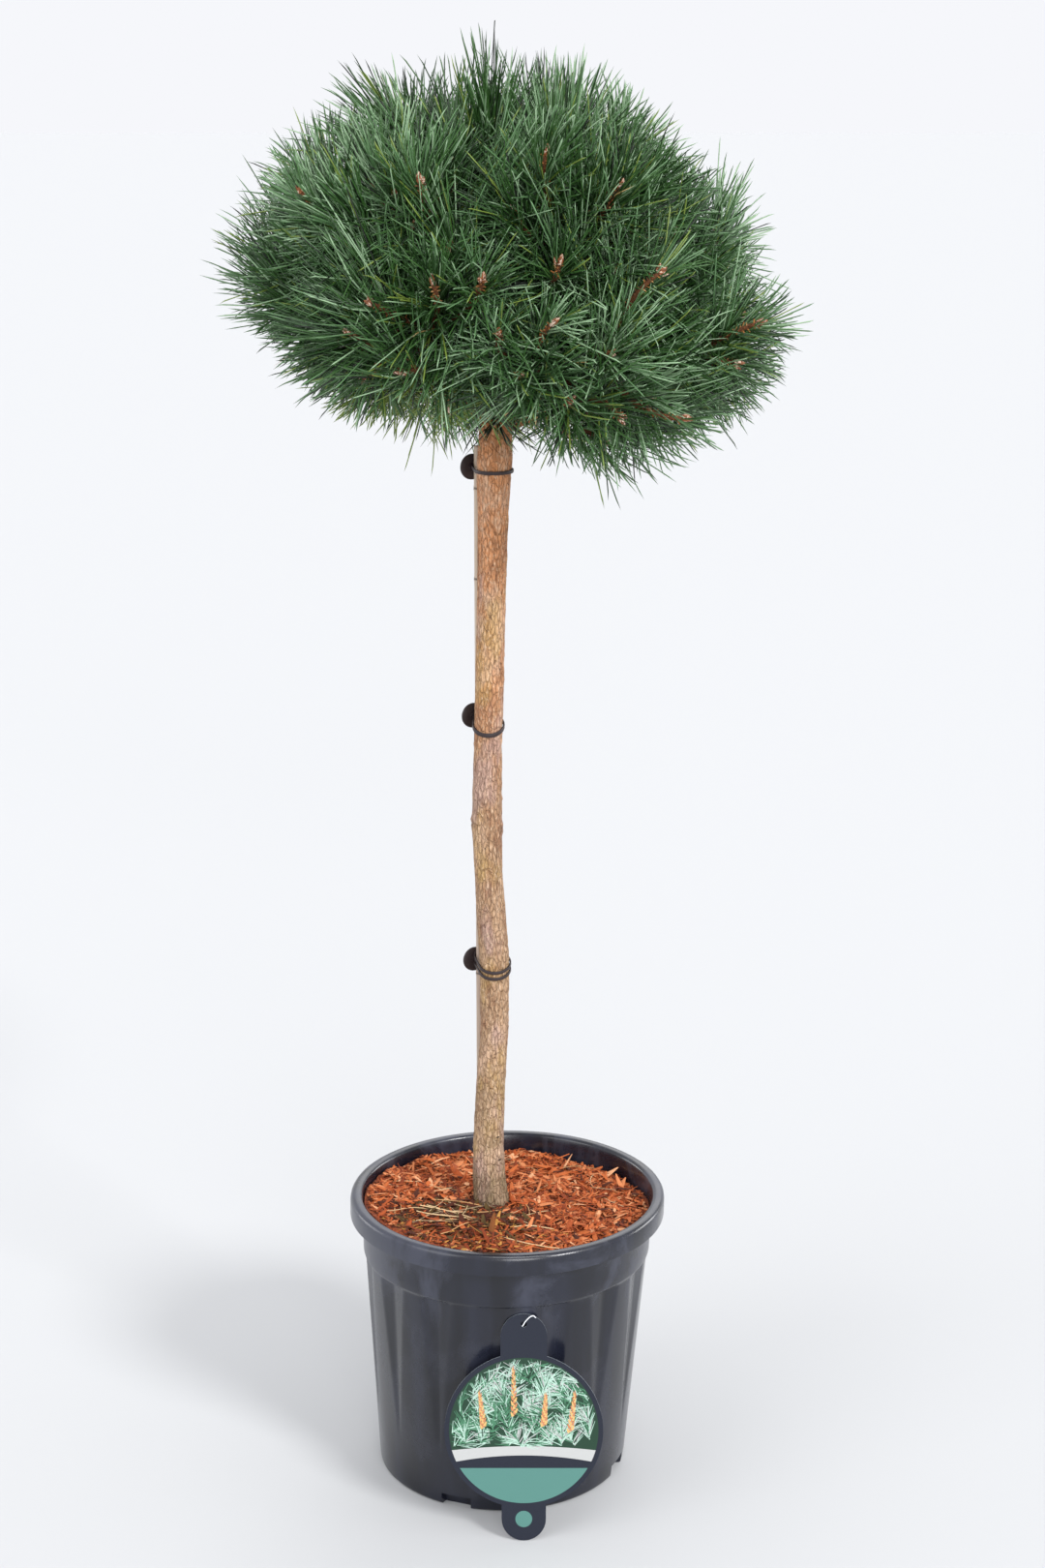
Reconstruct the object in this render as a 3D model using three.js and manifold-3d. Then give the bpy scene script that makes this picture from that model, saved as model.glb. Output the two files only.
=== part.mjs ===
// A grafted pine standard in a nursery pot: a straight clear stem with a round head of long needles.
// Millimetres. +Z is up through the middle of the pot's mouth, z = 0 is the pot's underside and the
// front is -Y. A turn is measured about the Z axis, in degrees from the front towards +X.
import * as THREE from 'three';
import { mergeVertices } from 'three/addons/utils/BufferGeometryUtils.js';
import Module from 'manifold-3d';

const wasm = await Module();
wasm.setup();

const GAP = 0.35; // left between any two pieces that rest on each other
const MERGE_DISTANCE = 1e-3;

// ---- driving dimensions ----

const POT = {
  height: 282.7,
  wall: 2,
  floor: 3,
  footRadius: 122.5,
  footShift: -6, // the soft pot has settled a little to one side of its mouth
  bodyRadius: 139, // where the tapered body meets the shoulder
  bodyTop: 222,
  shoulderLow: { radius: 141, z: 225.3 },
  shoulderHigh: { radius: 142.5, z: 262.4 },
  mouthRadius: 142.7,
  lipRadius: 154.5,
  lipRound: 3.2,
  sides: 36,
};
const NOTCH = { count: 4, firstTurn: -21, width: 30, height: 12, depth: 9 };

const MEDIUM_TOP = 252;
// The mulch's middle height, how much it rises to the wall on its high side, and its low waves.
const MULCH = { level: 270.5, rise: 9, riseTurn: -45, rings: 3 };
const MULCH_WAVE = { height: 1.6, right: 17, back: 21, across: 11 };

const TRUNK = {
  sides: 12,
  // [height, sway to the right, sway to the back, diameter], from the flat cut just under the mulch
  stations: [
    [262, -15, 0, 34],
    [300, -18.3, 0.5, 31.5],
    [332, -18.7, 1, 30],
    [391, -16.2, 2, 28],
    [449, -12.5, 3, 26.7],
    [522, -12.2, 4, 28.6],
    [607, -17.7, 4, 26.5],
    [655, -19, 4, 28.3],
    [720, -18, 3, 26.7],
    [879, -13.9, 1, 26.5],
    [960, -12, 0, 28.5],
    [996, -11.3, 0, 33],
    [1040, -9, 0, 29],
    [1100, -5, 1, 21],
    [1160, -1, 2, 15],
    [1214, 2, 3, 9],
  ],
};

// Bough diameters, at the trunk and where it runs into its mass, and its droop below a straight line.
const BOUGH = { sides: 6, steps: 4, droop: 7, seat: 20 };
const TIERS = {
  lower: { leaves: 1034, thick: 13, thin: 9 },
  upper: { leaves: 1074, thick: 11, thin: 7.5 },
  top: { leaves: 1122, thick: 9, thin: 6.5 },
};

// Each mass of foliage: its turn, how far out and how high its middle is, and how far its tips reach.
const MASSES = [
  { name: 'lower_front_left', tier: 'lower', turn: -36, out: 156, up: 1128, wide: 116, tall: 92 },
  { name: 'lower_front_right', tier: 'lower', turn: 30, out: 160, up: 1092, wide: 118, tall: 98 },
  { name: 'lower_right', tier: 'lower', turn: 86, out: 164, up: 1106, wide: 122, tall: 92 },
  { name: 'lower_back_right', tier: 'lower', turn: 142, out: 168, up: 1112, wide: 118, tall: 88 },
  { name: 'lower_back_left', tier: 'lower', turn: -148, out: 168, up: 1122, wide: 118, tall: 88 },
  { name: 'lower_left', tier: 'lower', turn: -93, out: 156, up: 1176, wide: 124, tall: 104 },
  { name: 'upper_front_left', tier: 'upper', turn: -34, out: 120, up: 1236, wide: 118, tall: 100 },
  { name: 'upper_front_right', tier: 'upper', turn: 38, out: 116, up: 1226, wide: 114, tall: 100 },
  { name: 'upper_right', tier: 'upper', turn: 100, out: 132, up: 1206, wide: 118, tall: 104 },
  { name: 'upper_back', tier: 'upper', turn: 170, out: 124, up: 1222, wide: 116, tall: 98 },
  { name: 'upper_left', tier: 'upper', turn: -106, out: 122, up: 1248, wide: 120, tall: 98 },
  { name: 'top_left', tier: 'top', turn: -70, out: 52, up: 1280, wide: 104, tall: 100 },
  { name: 'top_right', tier: 'top', turn: 58, out: 60, up: 1268, wide: 98, tall: 102 },
  { name: 'top_back', tier: 'top', turn: 166, out: 62, up: 1270, wide: 98, tall: 96 },
];
// A mass is drawn out into tufts: how many, how far apart in reach their tips and hollows are, how
// narrow and how unevenly set they are, and how sharply a mass turns where it meets its neighbour.
const TUFTS = { count: 11, depth: 0.24, sharpness: 9, nudge: 0.7, detail: 3, blend: 14 };

// The bamboo cane that the trunk is tied to: upright behind it, with a swelling at each joint.
const CANE = {
  right: -24.5,
  back: 24.3,
  bottom: 262,
  top: 1012,
  radius: 5.7,
  joint: { radius: 6.2, half: 3, heights: [500, 690, 888, 973] },
  sides: 8,
};

// The rubber ties: where the band crosses the front, how far it lies below its middle there, and how
// far its button sits above that.
const TIES = [
  { name: 'tie_top', front: 992, sag: 0.5, buttonRise: 0, bands: 1 },
  { name: 'tie_middle', front: 745.5, sag: 6.5, buttonRise: 10, bands: 1 },
  { name: 'tie_lower', front: 508, sag: 5.5, buttonRise: 4, bands: 2 },
];
const BAND = { height: 5.5, thickness: 1.6, pitch: 6.1, steps: 14 };
const BUTTON = { radius: 12, edge: 2.2, crownRadius: 8.6, crown: 4.4, dome: 5.2, sides: 14 };
const BUTTON_PLACE = { turn: -150, shift: 4 };

const LABEL = {
  disc: 75,
  topTab: { halfWidth: 22, end: 113 },
  footTab: { halfWidth: 21, end: 107 },
  hole: { radius: 3, up: 103 },
  thickness: 1.2,
  footY: -175,
  centreX: 16,
  curveSteps: 6,
};

// ---- finishes ----

function finish(color, roughness, metalness = 0) {
  return new THREE.MeshStandardMaterial({ color, roughness, metalness });
}
const FINISH = {
  pot: () => finish('#2c3032', 0.45),
  medium: () => finish('#3b2a1f', 0.95),
  mulch: () => finish('#b4653f', 0.9),
  trunk: () => finish('#a9764d', 0.85),
  bough: () => finish('#96612f', 0.85),
  cane: () => finish('#b5a695', 0.6),
  foliage: () => finish('#466a50', 0.75),
  tie: () => finish('#1d1d1f', 0.6),
  label: () => finish('#38474d', 0.4),
};

// ---- helpers ----

// The same run of numbers from 0 to 1 every time, from a seed.
function seeded(seed) {
  let state = seed;
  return () => {
    state = (state + 0x6d2b79f5) | 0;
    let mixed = Math.imul(state ^ (state >>> 15), 1 | state);
    mixed = (mixed + Math.imul(mixed ^ (mixed >>> 7), 61 | mixed)) ^ mixed;
    return ((mixed ^ (mixed >>> 14)) >>> 0) / 4294967296;
  };
}

// The point at a turn and a distance from the Z axis.
function around(turn, out, z) {
  const angle = THREE.MathUtils.degToRad(turn);
  return new THREE.Vector3(out * Math.sin(angle), -out * Math.cos(angle), z);
}

function solidOf(geometry) {
  const bare = new THREE.BufferGeometry();
  bare.setAttribute('position', geometry.getAttribute('position'));
  bare.setIndex(geometry.getIndex());
  const merged = mergeVertices(bare, MERGE_DISTANCE);
  return new wasm.Manifold(new wasm.Mesh({
    numProp: 3,
    vertProperties: merged.getAttribute('position').array,
    triVerts: new Uint32Array(merged.getIndex().array),
  }));
}

function geometryOf(solid) {
  const { vertProperties, triVerts } = solid.getMesh();
  const geometry = new THREE.BufferGeometry();
  geometry.setAttribute('position', new THREE.BufferAttribute(vertProperties, 3));
  geometry.setIndex(new THREE.BufferAttribute(triVerts, 1));
  geometry.computeVertexNormals();
  return geometry;
}

// A closed skin over rings of equally many points, each ring running anticlockwise seen from its end.
function loft(rings) {
  const sides = rings[0].length;
  const positions = rings.flat().flatMap((point) => point.toArray());
  const faces = [];
  for (let ring = 0; ring + 1 < rings.length; ring += 1) {
    for (let side = 0; side < sides; side += 1) {
      const a = ring * sides + side;
      const b = ring * sides + ((side + 1) % sides);
      faces.push(a, b, b + sides, a, b + sides, a + sides);
    }
  }
  const last = (rings.length - 1) * sides;
  for (let side = 1; side + 1 < sides; side += 1) {
    faces.push(0, side + 1, side);
    faces.push(last, last + side, last + side + 1);
  }
  const geometry = new THREE.BufferGeometry();
  geometry.setAttribute('position', new THREE.Float32BufferAttribute(positions, 3));
  geometry.setIndex(faces);
  geometry.computeVertexNormals();
  return geometry;
}

// A profile of [radius, z] points turned round the Z axis.
function turned(profile, sides) {
  const points = profile.map(([radius, z]) => new THREE.Vector2(radius, z));
  return new THREE.LatheGeometry(points, sides).rotateX(Math.PI / 2);
}

// How far the middle of the pot lies along X at a height.
function potMiddle(z) {
  return POT.footShift * (1 - z / POT.height);
}

// The same, as a shear of a whole geometry.
function settled(geometry) {
  const shear = new THREE.Matrix4().makeShear(0, 0, 0, 0, -POT.footShift / POT.height, 0);
  return geometry.applyMatrix4(shear).translate(POT.footShift, 0, 0);
}

const plant = new THREE.Group();

function addMesh(name, geometry, material) {
  const mesh = new THREE.Mesh(geometry, material);
  mesh.name = name;
  plant.add(mesh);
  return mesh;
}

// ---- pot ----

// The inner radius of the pot's wall at a height.
function innerRadius(z) {
  const { wall, floor, footRadius, bodyRadius, bodyTop, shoulderLow, shoulderHigh } = POT;
  const stops = [
    [floor, footRadius - wall],
    [bodyTop, bodyRadius - wall],
    [shoulderLow.z, shoulderLow.radius - wall],
    [shoulderHigh.z, shoulderHigh.radius - wall],
    [POT.height, POT.mouthRadius],
  ];
  const next = Math.max(1, stops.findIndex(([height]) => height >= z));
  const [lowZ, lowRadius] = stops[next - 1];
  const [highZ, highRadius] = stops[next];
  return THREE.MathUtils.mapLinear(z, lowZ, highZ, lowRadius, highRadius);
}

// A tapered shell with a stepped shoulder and a lip that hooks over and down.
function potShell() {
  const { height, wall, floor, lipRadius, lipRound, mouthRadius } = POT;
  const { shoulderLow, shoulderHigh, bodyRadius, bodyTop, footRadius } = POT;
  const web = height - wall;
  return settled(turned([
    [0, 0],
    [footRadius, 0],
    [bodyRadius, bodyTop],
    [shoulderLow.radius, shoulderLow.z],
    [shoulderHigh.radius, shoulderHigh.z],
    [mouthRadius + wall, web],
    [lipRadius - wall, web],
    [lipRadius - wall, shoulderHigh.z],
    [lipRadius, shoulderHigh.z],
    [lipRadius, height - lipRound],
    [lipRadius - lipRound, height],
    [mouthRadius, height],
    [shoulderHigh.radius - wall, shoulderHigh.z],
    [shoulderLow.radius - wall, shoulderLow.z],
    [bodyRadius - wall, bodyTop],
    [footRadius - wall, floor],
    [0, floor],
  ], POT.sides));
}

// The drainage notches that break the foot.
function footNotch(index) {
  const turn = NOTCH.firstTurn + (index * 360) / NOTCH.count;
  const reach = 2 * NOTCH.depth;
  const block = new THREE.BoxGeometry(NOTCH.width, reach, 2 * NOTCH.height);
  block.translate(0, -POT.footRadius + NOTCH.depth - reach / 2, 0);
  return solidOf(block.rotateZ(THREE.MathUtils.degToRad(turn)).translate(POT.footShift, 0, 0));
}

function addPot() {
  let shell = solidOf(potShell());
  for (let index = 0; index < NOTCH.count; index += 1) {
    shell = shell.subtract(footNotch(index));
  }
  addMesh('pot', geometryOf(shell), FINISH.pot());
}

function addGrowingMedium() {
  const { floor, bodyTop, shoulderLow } = POT;
  const heights = [floor + GAP, bodyTop, shoulderLow.z, MEDIUM_TOP];
  const side = heights.map((z) => [innerRadius(z) - GAP, z]);
  const profile = [[0, floor + GAP], ...side, [0, MEDIUM_TOP]];
  addMesh('growing_medium', settled(turned(profile, POT.sides)), FINISH.medium());
}

// The mulch lies higher on one side of the pot than on the other, in low waves.
function mulchHeight(point) {
  const uphill = around(MULCH.riseTurn, 1, 0);
  const slope = (MULCH.rise * point.dot(uphill)) / POT.mouthRadius;
  const { height, right, back, across } = MULCH_WAVE;
  const crossed = Math.sin(point.x / right) * Math.cos(point.y / back);
  const wave = crossed + Math.sin((point.x + point.y) / across);
  return MULCH.level + slope + height * wave;
}

function mulchRing(share) {
  const ring = [];
  for (let side = 0; side < POT.sides; side += 1) {
    const turn = (side * 360) / POT.sides;
    const guess = around(turn, share * innerRadius(MULCH.level), 0);
    const z = mulchHeight(guess);
    const point = around(turn, share * (innerRadius(z) - GAP), z);
    point.x += potMiddle(z);
    ring.push(point);
  }
  return ring;
}

// A ring against the pot's wall at a height, or just under the mulch's edge where that is lower.
function mulchWallRing(height) {
  return mulchRing(1).map((edge, side) => {
    const z = Math.min(height, edge.z - GAP);
    const point = around((side * 360) / POT.sides, innerRadius(z) - GAP, z);
    point.x += potMiddle(z);
    return point;
  });
}

function addMulch(trunkPocket, canePocket) {
  const rings = [mulchWallRing(MEDIUM_TOP + GAP), mulchWallRing(POT.shoulderHigh.z)];
  for (let ring = MULCH.rings; ring > 0; ring -= 1) {
    rings.push(mulchRing(ring / MULCH.rings));
  }
  const heap = solidOf(loft(rings)).subtract(trunkPocket).subtract(canePocket);
  addMesh('bark_mulch', geometryOf(heap), FINISH.mulch());
}

// ---- trunk and boughs ----

// The trunk's middle and radius at a height.
function trunkAt(z) {
  const { stations } = TRUNK;
  const above = Math.max(1, stations.findIndex(([height]) => height >= z));
  const low = stations[above - 1];
  const high = stations[above];
  const share = (z - low[0]) / (high[0] - low[0]);
  const [, right, back, width] = low.map((value, part) => THREE.MathUtils.lerp(value, high[part], share));
  return { middle: new THREE.Vector3(right, back, z), radius: width / 2 };
}

// The trunk, grown by a margin on its sides and ends.
function trunkSolid(margin) {
  const last = TRUNK.stations.length - 1;
  const rings = TRUNK.stations.map(([z], station) => {
    const { middle, radius } = trunkAt(z);
    if (station === 0) middle.z -= margin;
    if (station === last) middle.z += margin;
    const grown = radius + margin / Math.cos(Math.PI / TRUNK.sides);
    const ring = [];
    for (let side = 0; side < TRUNK.sides; side += 1) {
      ring.push(around((side * 360) / TRUNK.sides, grown, 0).add(middle));
    }
    return ring;
  });
  return solidOf(loft(rings));
}

// A tapering limb along a curve, grown by a margin on its sides and its far end.
function limbSolid(curve, thick, thin, margin) {
  const { sides, steps } = BOUGH;
  const frames = curve.computeFrenetFrames(steps);
  const rings = [];
  for (let step = 0; step <= steps; step += 1) {
    const share = step / steps;
    const middle = curve.getPointAt(share);
    if (step === steps) middle.addScaledVector(frames.tangents[step], margin);
    const radius = THREE.MathUtils.lerp(thick, thin, share) / 2;
    const grown = radius + margin / Math.cos(Math.PI / sides);
    const ring = [];
    for (let side = 0; side < sides; side += 1) {
      const angle = (side * 2 * Math.PI) / sides;
      const point = middle.clone();
      point.addScaledVector(frames.normals[step], grown * Math.cos(angle));
      point.addScaledVector(frames.binormals[step], grown * Math.sin(angle));
      ring.push(point);
    }
    rings.push(ring);
  }
  return solidOf(loft(rings));
}

// ---- masses of foliage ----

function massMiddle(mass) {
  return around(mass.turn, mass.out, mass.up);
}

// The directions of a mass's tufts, spread over it evenly and then nudged.
function tuftDirections(seed) {
  const random = seeded(seed);
  const golden = Math.PI * (3 - Math.sqrt(5));
  const directions = [];
  for (let index = 0; index < TUFTS.count; index += 1) {
    const z = 1 - (2 * (index + 0.5)) / TUFTS.count;
    const level = Math.sqrt(1 - z * z);
    const angle = golden * index + seed;
    const direction = new THREE.Vector3(level * Math.cos(angle), level * Math.sin(angle), z);
    const nudge = new THREE.Vector3(random() - 0.5, random() - 0.5, random() - 0.5);
    directions.push(direction.addScaledVector(nudge, TUFTS.nudge).normalize());
  }
  return directions;
}

const tuftsOf = MASSES.map((mass, index) => tuftDirections(index + 1));

// How far mass number index reaches from its middle along a unit direction: an ellipsoid drawn out
// into tufts, eased to nothing past the planes that part it from the other masses.
function massReach(index, direction) {
  const mass = MASSES[index];
  const middle = massMiddle(mass);
  const flat = Math.hypot(direction.x, direction.y) / mass.wide;
  const ellipsoid = 1 / Math.hypot(flat, direction.z / mass.tall);
  let swell = 0;
  for (const tuft of tuftsOf[index]) {
    swell = Math.max(swell, Math.exp(TUFTS.sharpness * (direction.dot(tuft) - 1)));
  }
  const reach = ellipsoid * (1 - TUFTS.depth + TUFTS.depth * swell);
  let closeness = reach ** -TUFTS.blend;
  for (const other of MASSES) {
    if (other === mass) continue;
    const across = massMiddle(other).sub(middle);
    const distance = across.length();
    const facing = direction.dot(across) / distance;
    if (facing <= 0) continue;
    const share = mass.wide / (mass.wide + other.wide);
    closeness += ((distance * share - GAP / 2) / facing) ** -TUFTS.blend;
  }
  return closeness ** (-1 / TUFTS.blend);
}

function massSolid(index) {
  const sphere = new THREE.IcosahedronGeometry(1, TUFTS.detail);
  const spots = sphere.getAttribute('position');
  const middle = massMiddle(MASSES[index]);
  const direction = new THREE.Vector3();
  for (let spot = 0; spot < spots.count; spot += 1) {
    direction.fromBufferAttribute(spots, spot).normalize();
    direction.multiplyScalar(massReach(index, direction.clone())).add(middle);
    spots.setXYZ(spot, direction.x, direction.y, direction.z);
  }
  return solidOf(sphere);
}

// A bough's line: off the trunk, drooping a little, and a short way into its mass.
function boughCurve(index) {
  const mass = MASSES[index];
  const { middle: start } = trunkAt(TIERS[mass.tier].leaves);
  const middle = massMiddle(mass);
  const back = start.clone().sub(middle).normalize();
  const end = middle.clone().addScaledVector(back, massReach(index, back) - BOUGH.seat);
  const bend = start.clone().lerp(end, 0.5);
  bend.z -= BOUGH.droop;
  return new THREE.QuadraticBezierCurve3(start, bend, end);
}

// The cane, grown by a margin on its sides and ends.
function caneGeometry(margin) {
  const { radius, joint, bottom, top, sides } = CANE;
  const grown = margin / Math.cos(Math.PI / sides);
  const side = joint.heights.flatMap((z) => [
    [radius + grown, z - joint.half],
    [joint.radius + grown, z],
    [radius + grown, z + joint.half],
  ]);
  const foot = bottom - margin;
  const tip = top + margin;
  const profile = [[0, foot], [radius + grown, foot], ...side, [radius + grown, tip], [0, tip]];
  return turned(profile, sides).translate(CANE.right, CANE.back, 0);
}

function addCrown(trunkSpace) {
  const limbs = MASSES.map((mass, index) => {
    const { thick, thin } = TIERS[mass.tier];
    const curve = boughCurve(index);
    return { mass, solid: limbSolid(curve, thick, thin, 0), space: limbSolid(curve, thick, thin, GAP) };
  });
  for (const { mass, solid } of limbs) {
    addMesh(`bough_${mass.name}`, geometryOf(solid.subtract(trunkSpace)), FINISH.bough());
  }
  MASSES.forEach((mass, index) => {
    let foliage = massSolid(index).subtract(trunkSpace);
    for (const { space } of limbs) foliage = foliage.subtract(space);
    addMesh(`foliage_${mass.name}`, geometryOf(foliage), FINISH.foliage());
  });
}

// ---- ties ----

// Where two upright planes meet, each given by its turn and its distance from the Z axis.
function planesMeet(turn, reach, nextTurn, nextReach) {
  const [sine, cosine] = [Math.sin, Math.cos].map((of) => of(THREE.MathUtils.degToRad(turn)));
  const [nextSine, nextCosine] = [Math.sin, Math.cos].map((of) => of(THREE.MathUtils.degToRad(nextTurn)));
  const spread = Math.sin(THREE.MathUtils.degToRad(nextTurn - turn));
  const x = (reach * nextCosine - nextReach * cosine) / -spread;
  const y = (reach * nextSine - nextReach * sine) / -spread;
  return new THREE.Vector3(x, y, 0);
}

// A tight outline round the trunk and the cane: the corner between each two neighbouring planes that
// lie a margin clear of both.
function loopOutline(trunkMiddle, trunkRadius, margin) {
  const caneMiddle = new THREE.Vector3(CANE.right, CANE.back, 0);
  const turns = Array.from({ length: BAND.steps }, (_, step) => (step * 360) / BAND.steps);
  const reaches = turns.map((turn) => {
    const outward = around(turn, 1, 0);
    const trunkReach = outward.dot(trunkMiddle) + trunkRadius;
    return Math.max(trunkReach, outward.dot(caneMiddle) + CANE.joint.radius) + margin;
  });
  return turns.map((turn, step) => {
    const ahead = (step + 1) % BAND.steps;
    const point = planesMeet(turn, reaches[step], turns[ahead], reaches[ahead]);
    return { turn: turn + 180 / BAND.steps, point };
  });
}

// A band round the trunk and the cane, low at the front and high at the back.
function bandSolid(z, sag) {
  const { middle } = trunkAt(z);
  middle.z = 0;
  const half = BAND.height / 2;
  const ends = [z - sag - half, z + sag + half];
  const widest = Math.max(...ends.map((end) => trunkAt(end).radius));
  const inner = loopOutline(middle, widest, GAP);
  const outer = loopOutline(middle, widest, GAP + BAND.thickness);
  const faces = [];
  const positions = [];
  for (let step = 0; step < BAND.steps; step += 1) {
    const height = z - sag * Math.cos(THREE.MathUtils.degToRad(inner[step].turn));
    const corners = [[inner, -half], [outer, -half], [outer, half], [inner, half]];
    for (const [outline, rise] of corners) {
      const { point } = outline[step];
      positions.push(point.x, point.y, height + rise);
    }
    const here = 4 * step;
    const ahead = 4 * ((step + 1) % BAND.steps);
    for (let corner = 0; corner < 4; corner += 1) {
      const next = (corner + 1) % 4;
      faces.push(here + corner, ahead + corner, ahead + next);
      faces.push(here + corner, ahead + next, here + next);
    }
  }
  const geometry = new THREE.BufferGeometry();
  geometry.setAttribute('position', new THREE.Float32BufferAttribute(positions, 3));
  geometry.setIndex(faces);
  return solidOf(geometry);
}

// The domed button that the band is hooked on, behind the cane.
function buttonSolid(z) {
  const { edge, crownRadius, crown, dome } = BUTTON;
  const profile = [[0, 0], [BUTTON.radius, 0], [BUTTON.radius, edge], [crownRadius, crown], [0, dome]];
  const disc = turned(profile, BUTTON.sides).rotateX(Math.PI / 2);
  disc.translate(BUTTON_PLACE.shift, -(CANE.joint.radius + GAP + BAND.thickness / 2), 0);
  disc.rotateZ(THREE.MathUtils.degToRad(BUTTON_PLACE.turn));
  disc.translate(CANE.right, CANE.back, z);
  return solidOf(disc);
}

function addTies() {
  for (const { name, front, sag, buttonRise, bands } of TIES) {
    let tie = buttonSolid(front + buttonRise);
    for (let band = 0; band < bands; band += 1) {
      const drop = (band - (bands - 1) / 2) * BAND.pitch;
      tie = tie.add(bandSolid(front + sag - drop, sag));
    }
    addMesh(name, geometryOf(tie), FINISH.tie());
  }
}

// ---- label ----

// A round card with a tab above, holed for its loop, and a tab below that it stands on.
function labelOutline() {
  const { disc, topTab, footTab, hole } = LABEL;
  const topMiddle = topTab.end - topTab.halfWidth;
  const footMiddle = footTab.end - footTab.halfWidth;
  const topTurn = Math.acos(topTab.halfWidth / disc);
  const footTurn = Math.acos(footTab.halfWidth / disc);
  const outline = new THREE.Shape();
  outline.absarc(0, -footMiddle, footTab.halfWidth, Math.PI, 2 * Math.PI, false);
  outline.absarc(0, 0, disc, -footTurn, topTurn, false);
  outline.absarc(0, topMiddle, topTab.halfWidth, 0, Math.PI, false);
  outline.absarc(0, 0, disc, Math.PI - topTurn, Math.PI + footTurn, false);
  outline.holes.push(new THREE.Path().absarc(0, hole.up, hole.radius, 0, 2 * Math.PI, true));
  return outline;
}

function addLabel() {
  const { thickness, footY, centreX, curveSteps, topTab, footTab } = LABEL;
  const length = topTab.end + footTab.end;
  const wallRadius = innerRadius(length) + POT.wall;
  const wallY = -Math.sqrt(wallRadius ** 2 - (centreX - potMiddle(length)) ** 2) - GAP;
  const lean = Math.asin((wallY - footY - thickness) / length);
  const settings = { depth: thickness, bevelEnabled: false, curveSegments: curveSteps };
  const card = new THREE.ExtrudeGeometry(labelOutline(), settings);
  card.translate(0, footTab.end, -thickness).rotateX(Math.PI / 2);
  const label = addMesh('label', card, FINISH.label());
  label.rotation.x = -lean;
  label.position.set(centreX, footY, GAP + thickness * Math.sin(lean));
}

// ---- the plant ----

const trunkSpace = trunkSolid(GAP);
addPot();
addGrowingMedium();
addMulch(trunkSpace, solidOf(caneGeometry(GAP)));
addMesh('trunk', geometryOf(trunkSolid(0)), FINISH.trunk());
addMesh('support_cane', geometryOf(solidOf(caneGeometry(0))), FINISH.cane());
addCrown(trunkSpace);
addTies();
addLabel();

export default plant;
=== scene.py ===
"""Looks for a grafted pine standard in a nursery pot: bark, needles, mulch, pot, ties, cane and label.

Metres, +Z up through the middle of the pot's mouth, the front is -Y. A turn is measured about the
Z axis, in degrees from the front towards +X.
"""

import math

import bpy
import numpy as np
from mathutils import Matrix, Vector
from mathutils.bvhtree import BVHTree
from mathutils.geometry import tessellate_polygon


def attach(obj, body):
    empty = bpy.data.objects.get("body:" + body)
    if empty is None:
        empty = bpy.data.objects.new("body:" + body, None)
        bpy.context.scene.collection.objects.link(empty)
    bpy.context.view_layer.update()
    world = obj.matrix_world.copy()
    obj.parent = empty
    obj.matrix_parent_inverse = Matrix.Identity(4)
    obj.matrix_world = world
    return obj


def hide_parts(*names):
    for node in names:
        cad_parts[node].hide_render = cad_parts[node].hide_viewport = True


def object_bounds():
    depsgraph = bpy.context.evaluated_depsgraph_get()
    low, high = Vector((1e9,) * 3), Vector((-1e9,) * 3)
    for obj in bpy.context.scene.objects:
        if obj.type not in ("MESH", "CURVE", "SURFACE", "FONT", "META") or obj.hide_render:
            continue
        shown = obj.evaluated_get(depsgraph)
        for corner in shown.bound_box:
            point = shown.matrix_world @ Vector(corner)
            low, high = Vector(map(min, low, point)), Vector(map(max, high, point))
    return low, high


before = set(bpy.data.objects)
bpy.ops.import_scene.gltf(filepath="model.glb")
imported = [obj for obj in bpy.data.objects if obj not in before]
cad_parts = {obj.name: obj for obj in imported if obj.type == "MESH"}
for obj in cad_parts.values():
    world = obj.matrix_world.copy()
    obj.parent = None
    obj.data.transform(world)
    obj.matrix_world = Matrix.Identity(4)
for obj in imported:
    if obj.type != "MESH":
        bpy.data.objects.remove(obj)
CAD_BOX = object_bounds()
BODY = "root"
MM = 0.001
GOLDEN = math.pi * (3 - math.sqrt(5))

# ---- sizes shared with the frame ----

POT_HEIGHT = 282.7 * MM
FOOT_RADIUS = 122.5 * MM
FOOT_SHIFT = -6 * MM
BODY_TOP = 222 * MM
MOUTH_RADIUS = 142.7 * MM
NOTCH_TURNS = (-21, 69, 159, 249)
NOTCH_HALF_WIDTH = 15 * MM
NOTCH_HEIGHT = 12 * MM
NOTCH_DEPTH = 9 * MM

MULCH_LEVEL = 270.5 * MM
MULCH_RISE = 9 * MM
MULCH_RISE_TURN = -45
# where the bed meets the pot's wall, and the height that the heap is centred at
BED_FOOT = 262 * MM
HEAP_LEVEL = 270 * MM
WALL_GAP = 0.6 * MM
HEAP_REACH = 139 * MM
LITTER_REACH = 136 * MM
MOSS_PLACE = (-0.045, -0.055)

# height, sway to the right, sway to the back, diameter, in millimetres
TRUNK_STATIONS = np.array([
    [262, -15, 0, 34],
    [300, -18.3, 0.5, 31.5],
    [332, -18.7, 1, 30],
    [391, -16.2, 2, 28],
    [449, -12.5, 3, 26.7],
    [522, -12.2, 4, 28.6],
    [607, -17.7, 4, 26.5],
    [655, -19, 4, 28.3],
    [720, -18, 3, 26.7],
    [879, -13.9, 1, 26.5],
    [960, -12, 0, 28.5],
    [996, -11.3, 0, 33],
    [1040, -9, 0, 29],
    [1100, -5, 1, 21],
    [1160, -1, 2, 15],
    [1214, 2, 3, 9],
])

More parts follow.
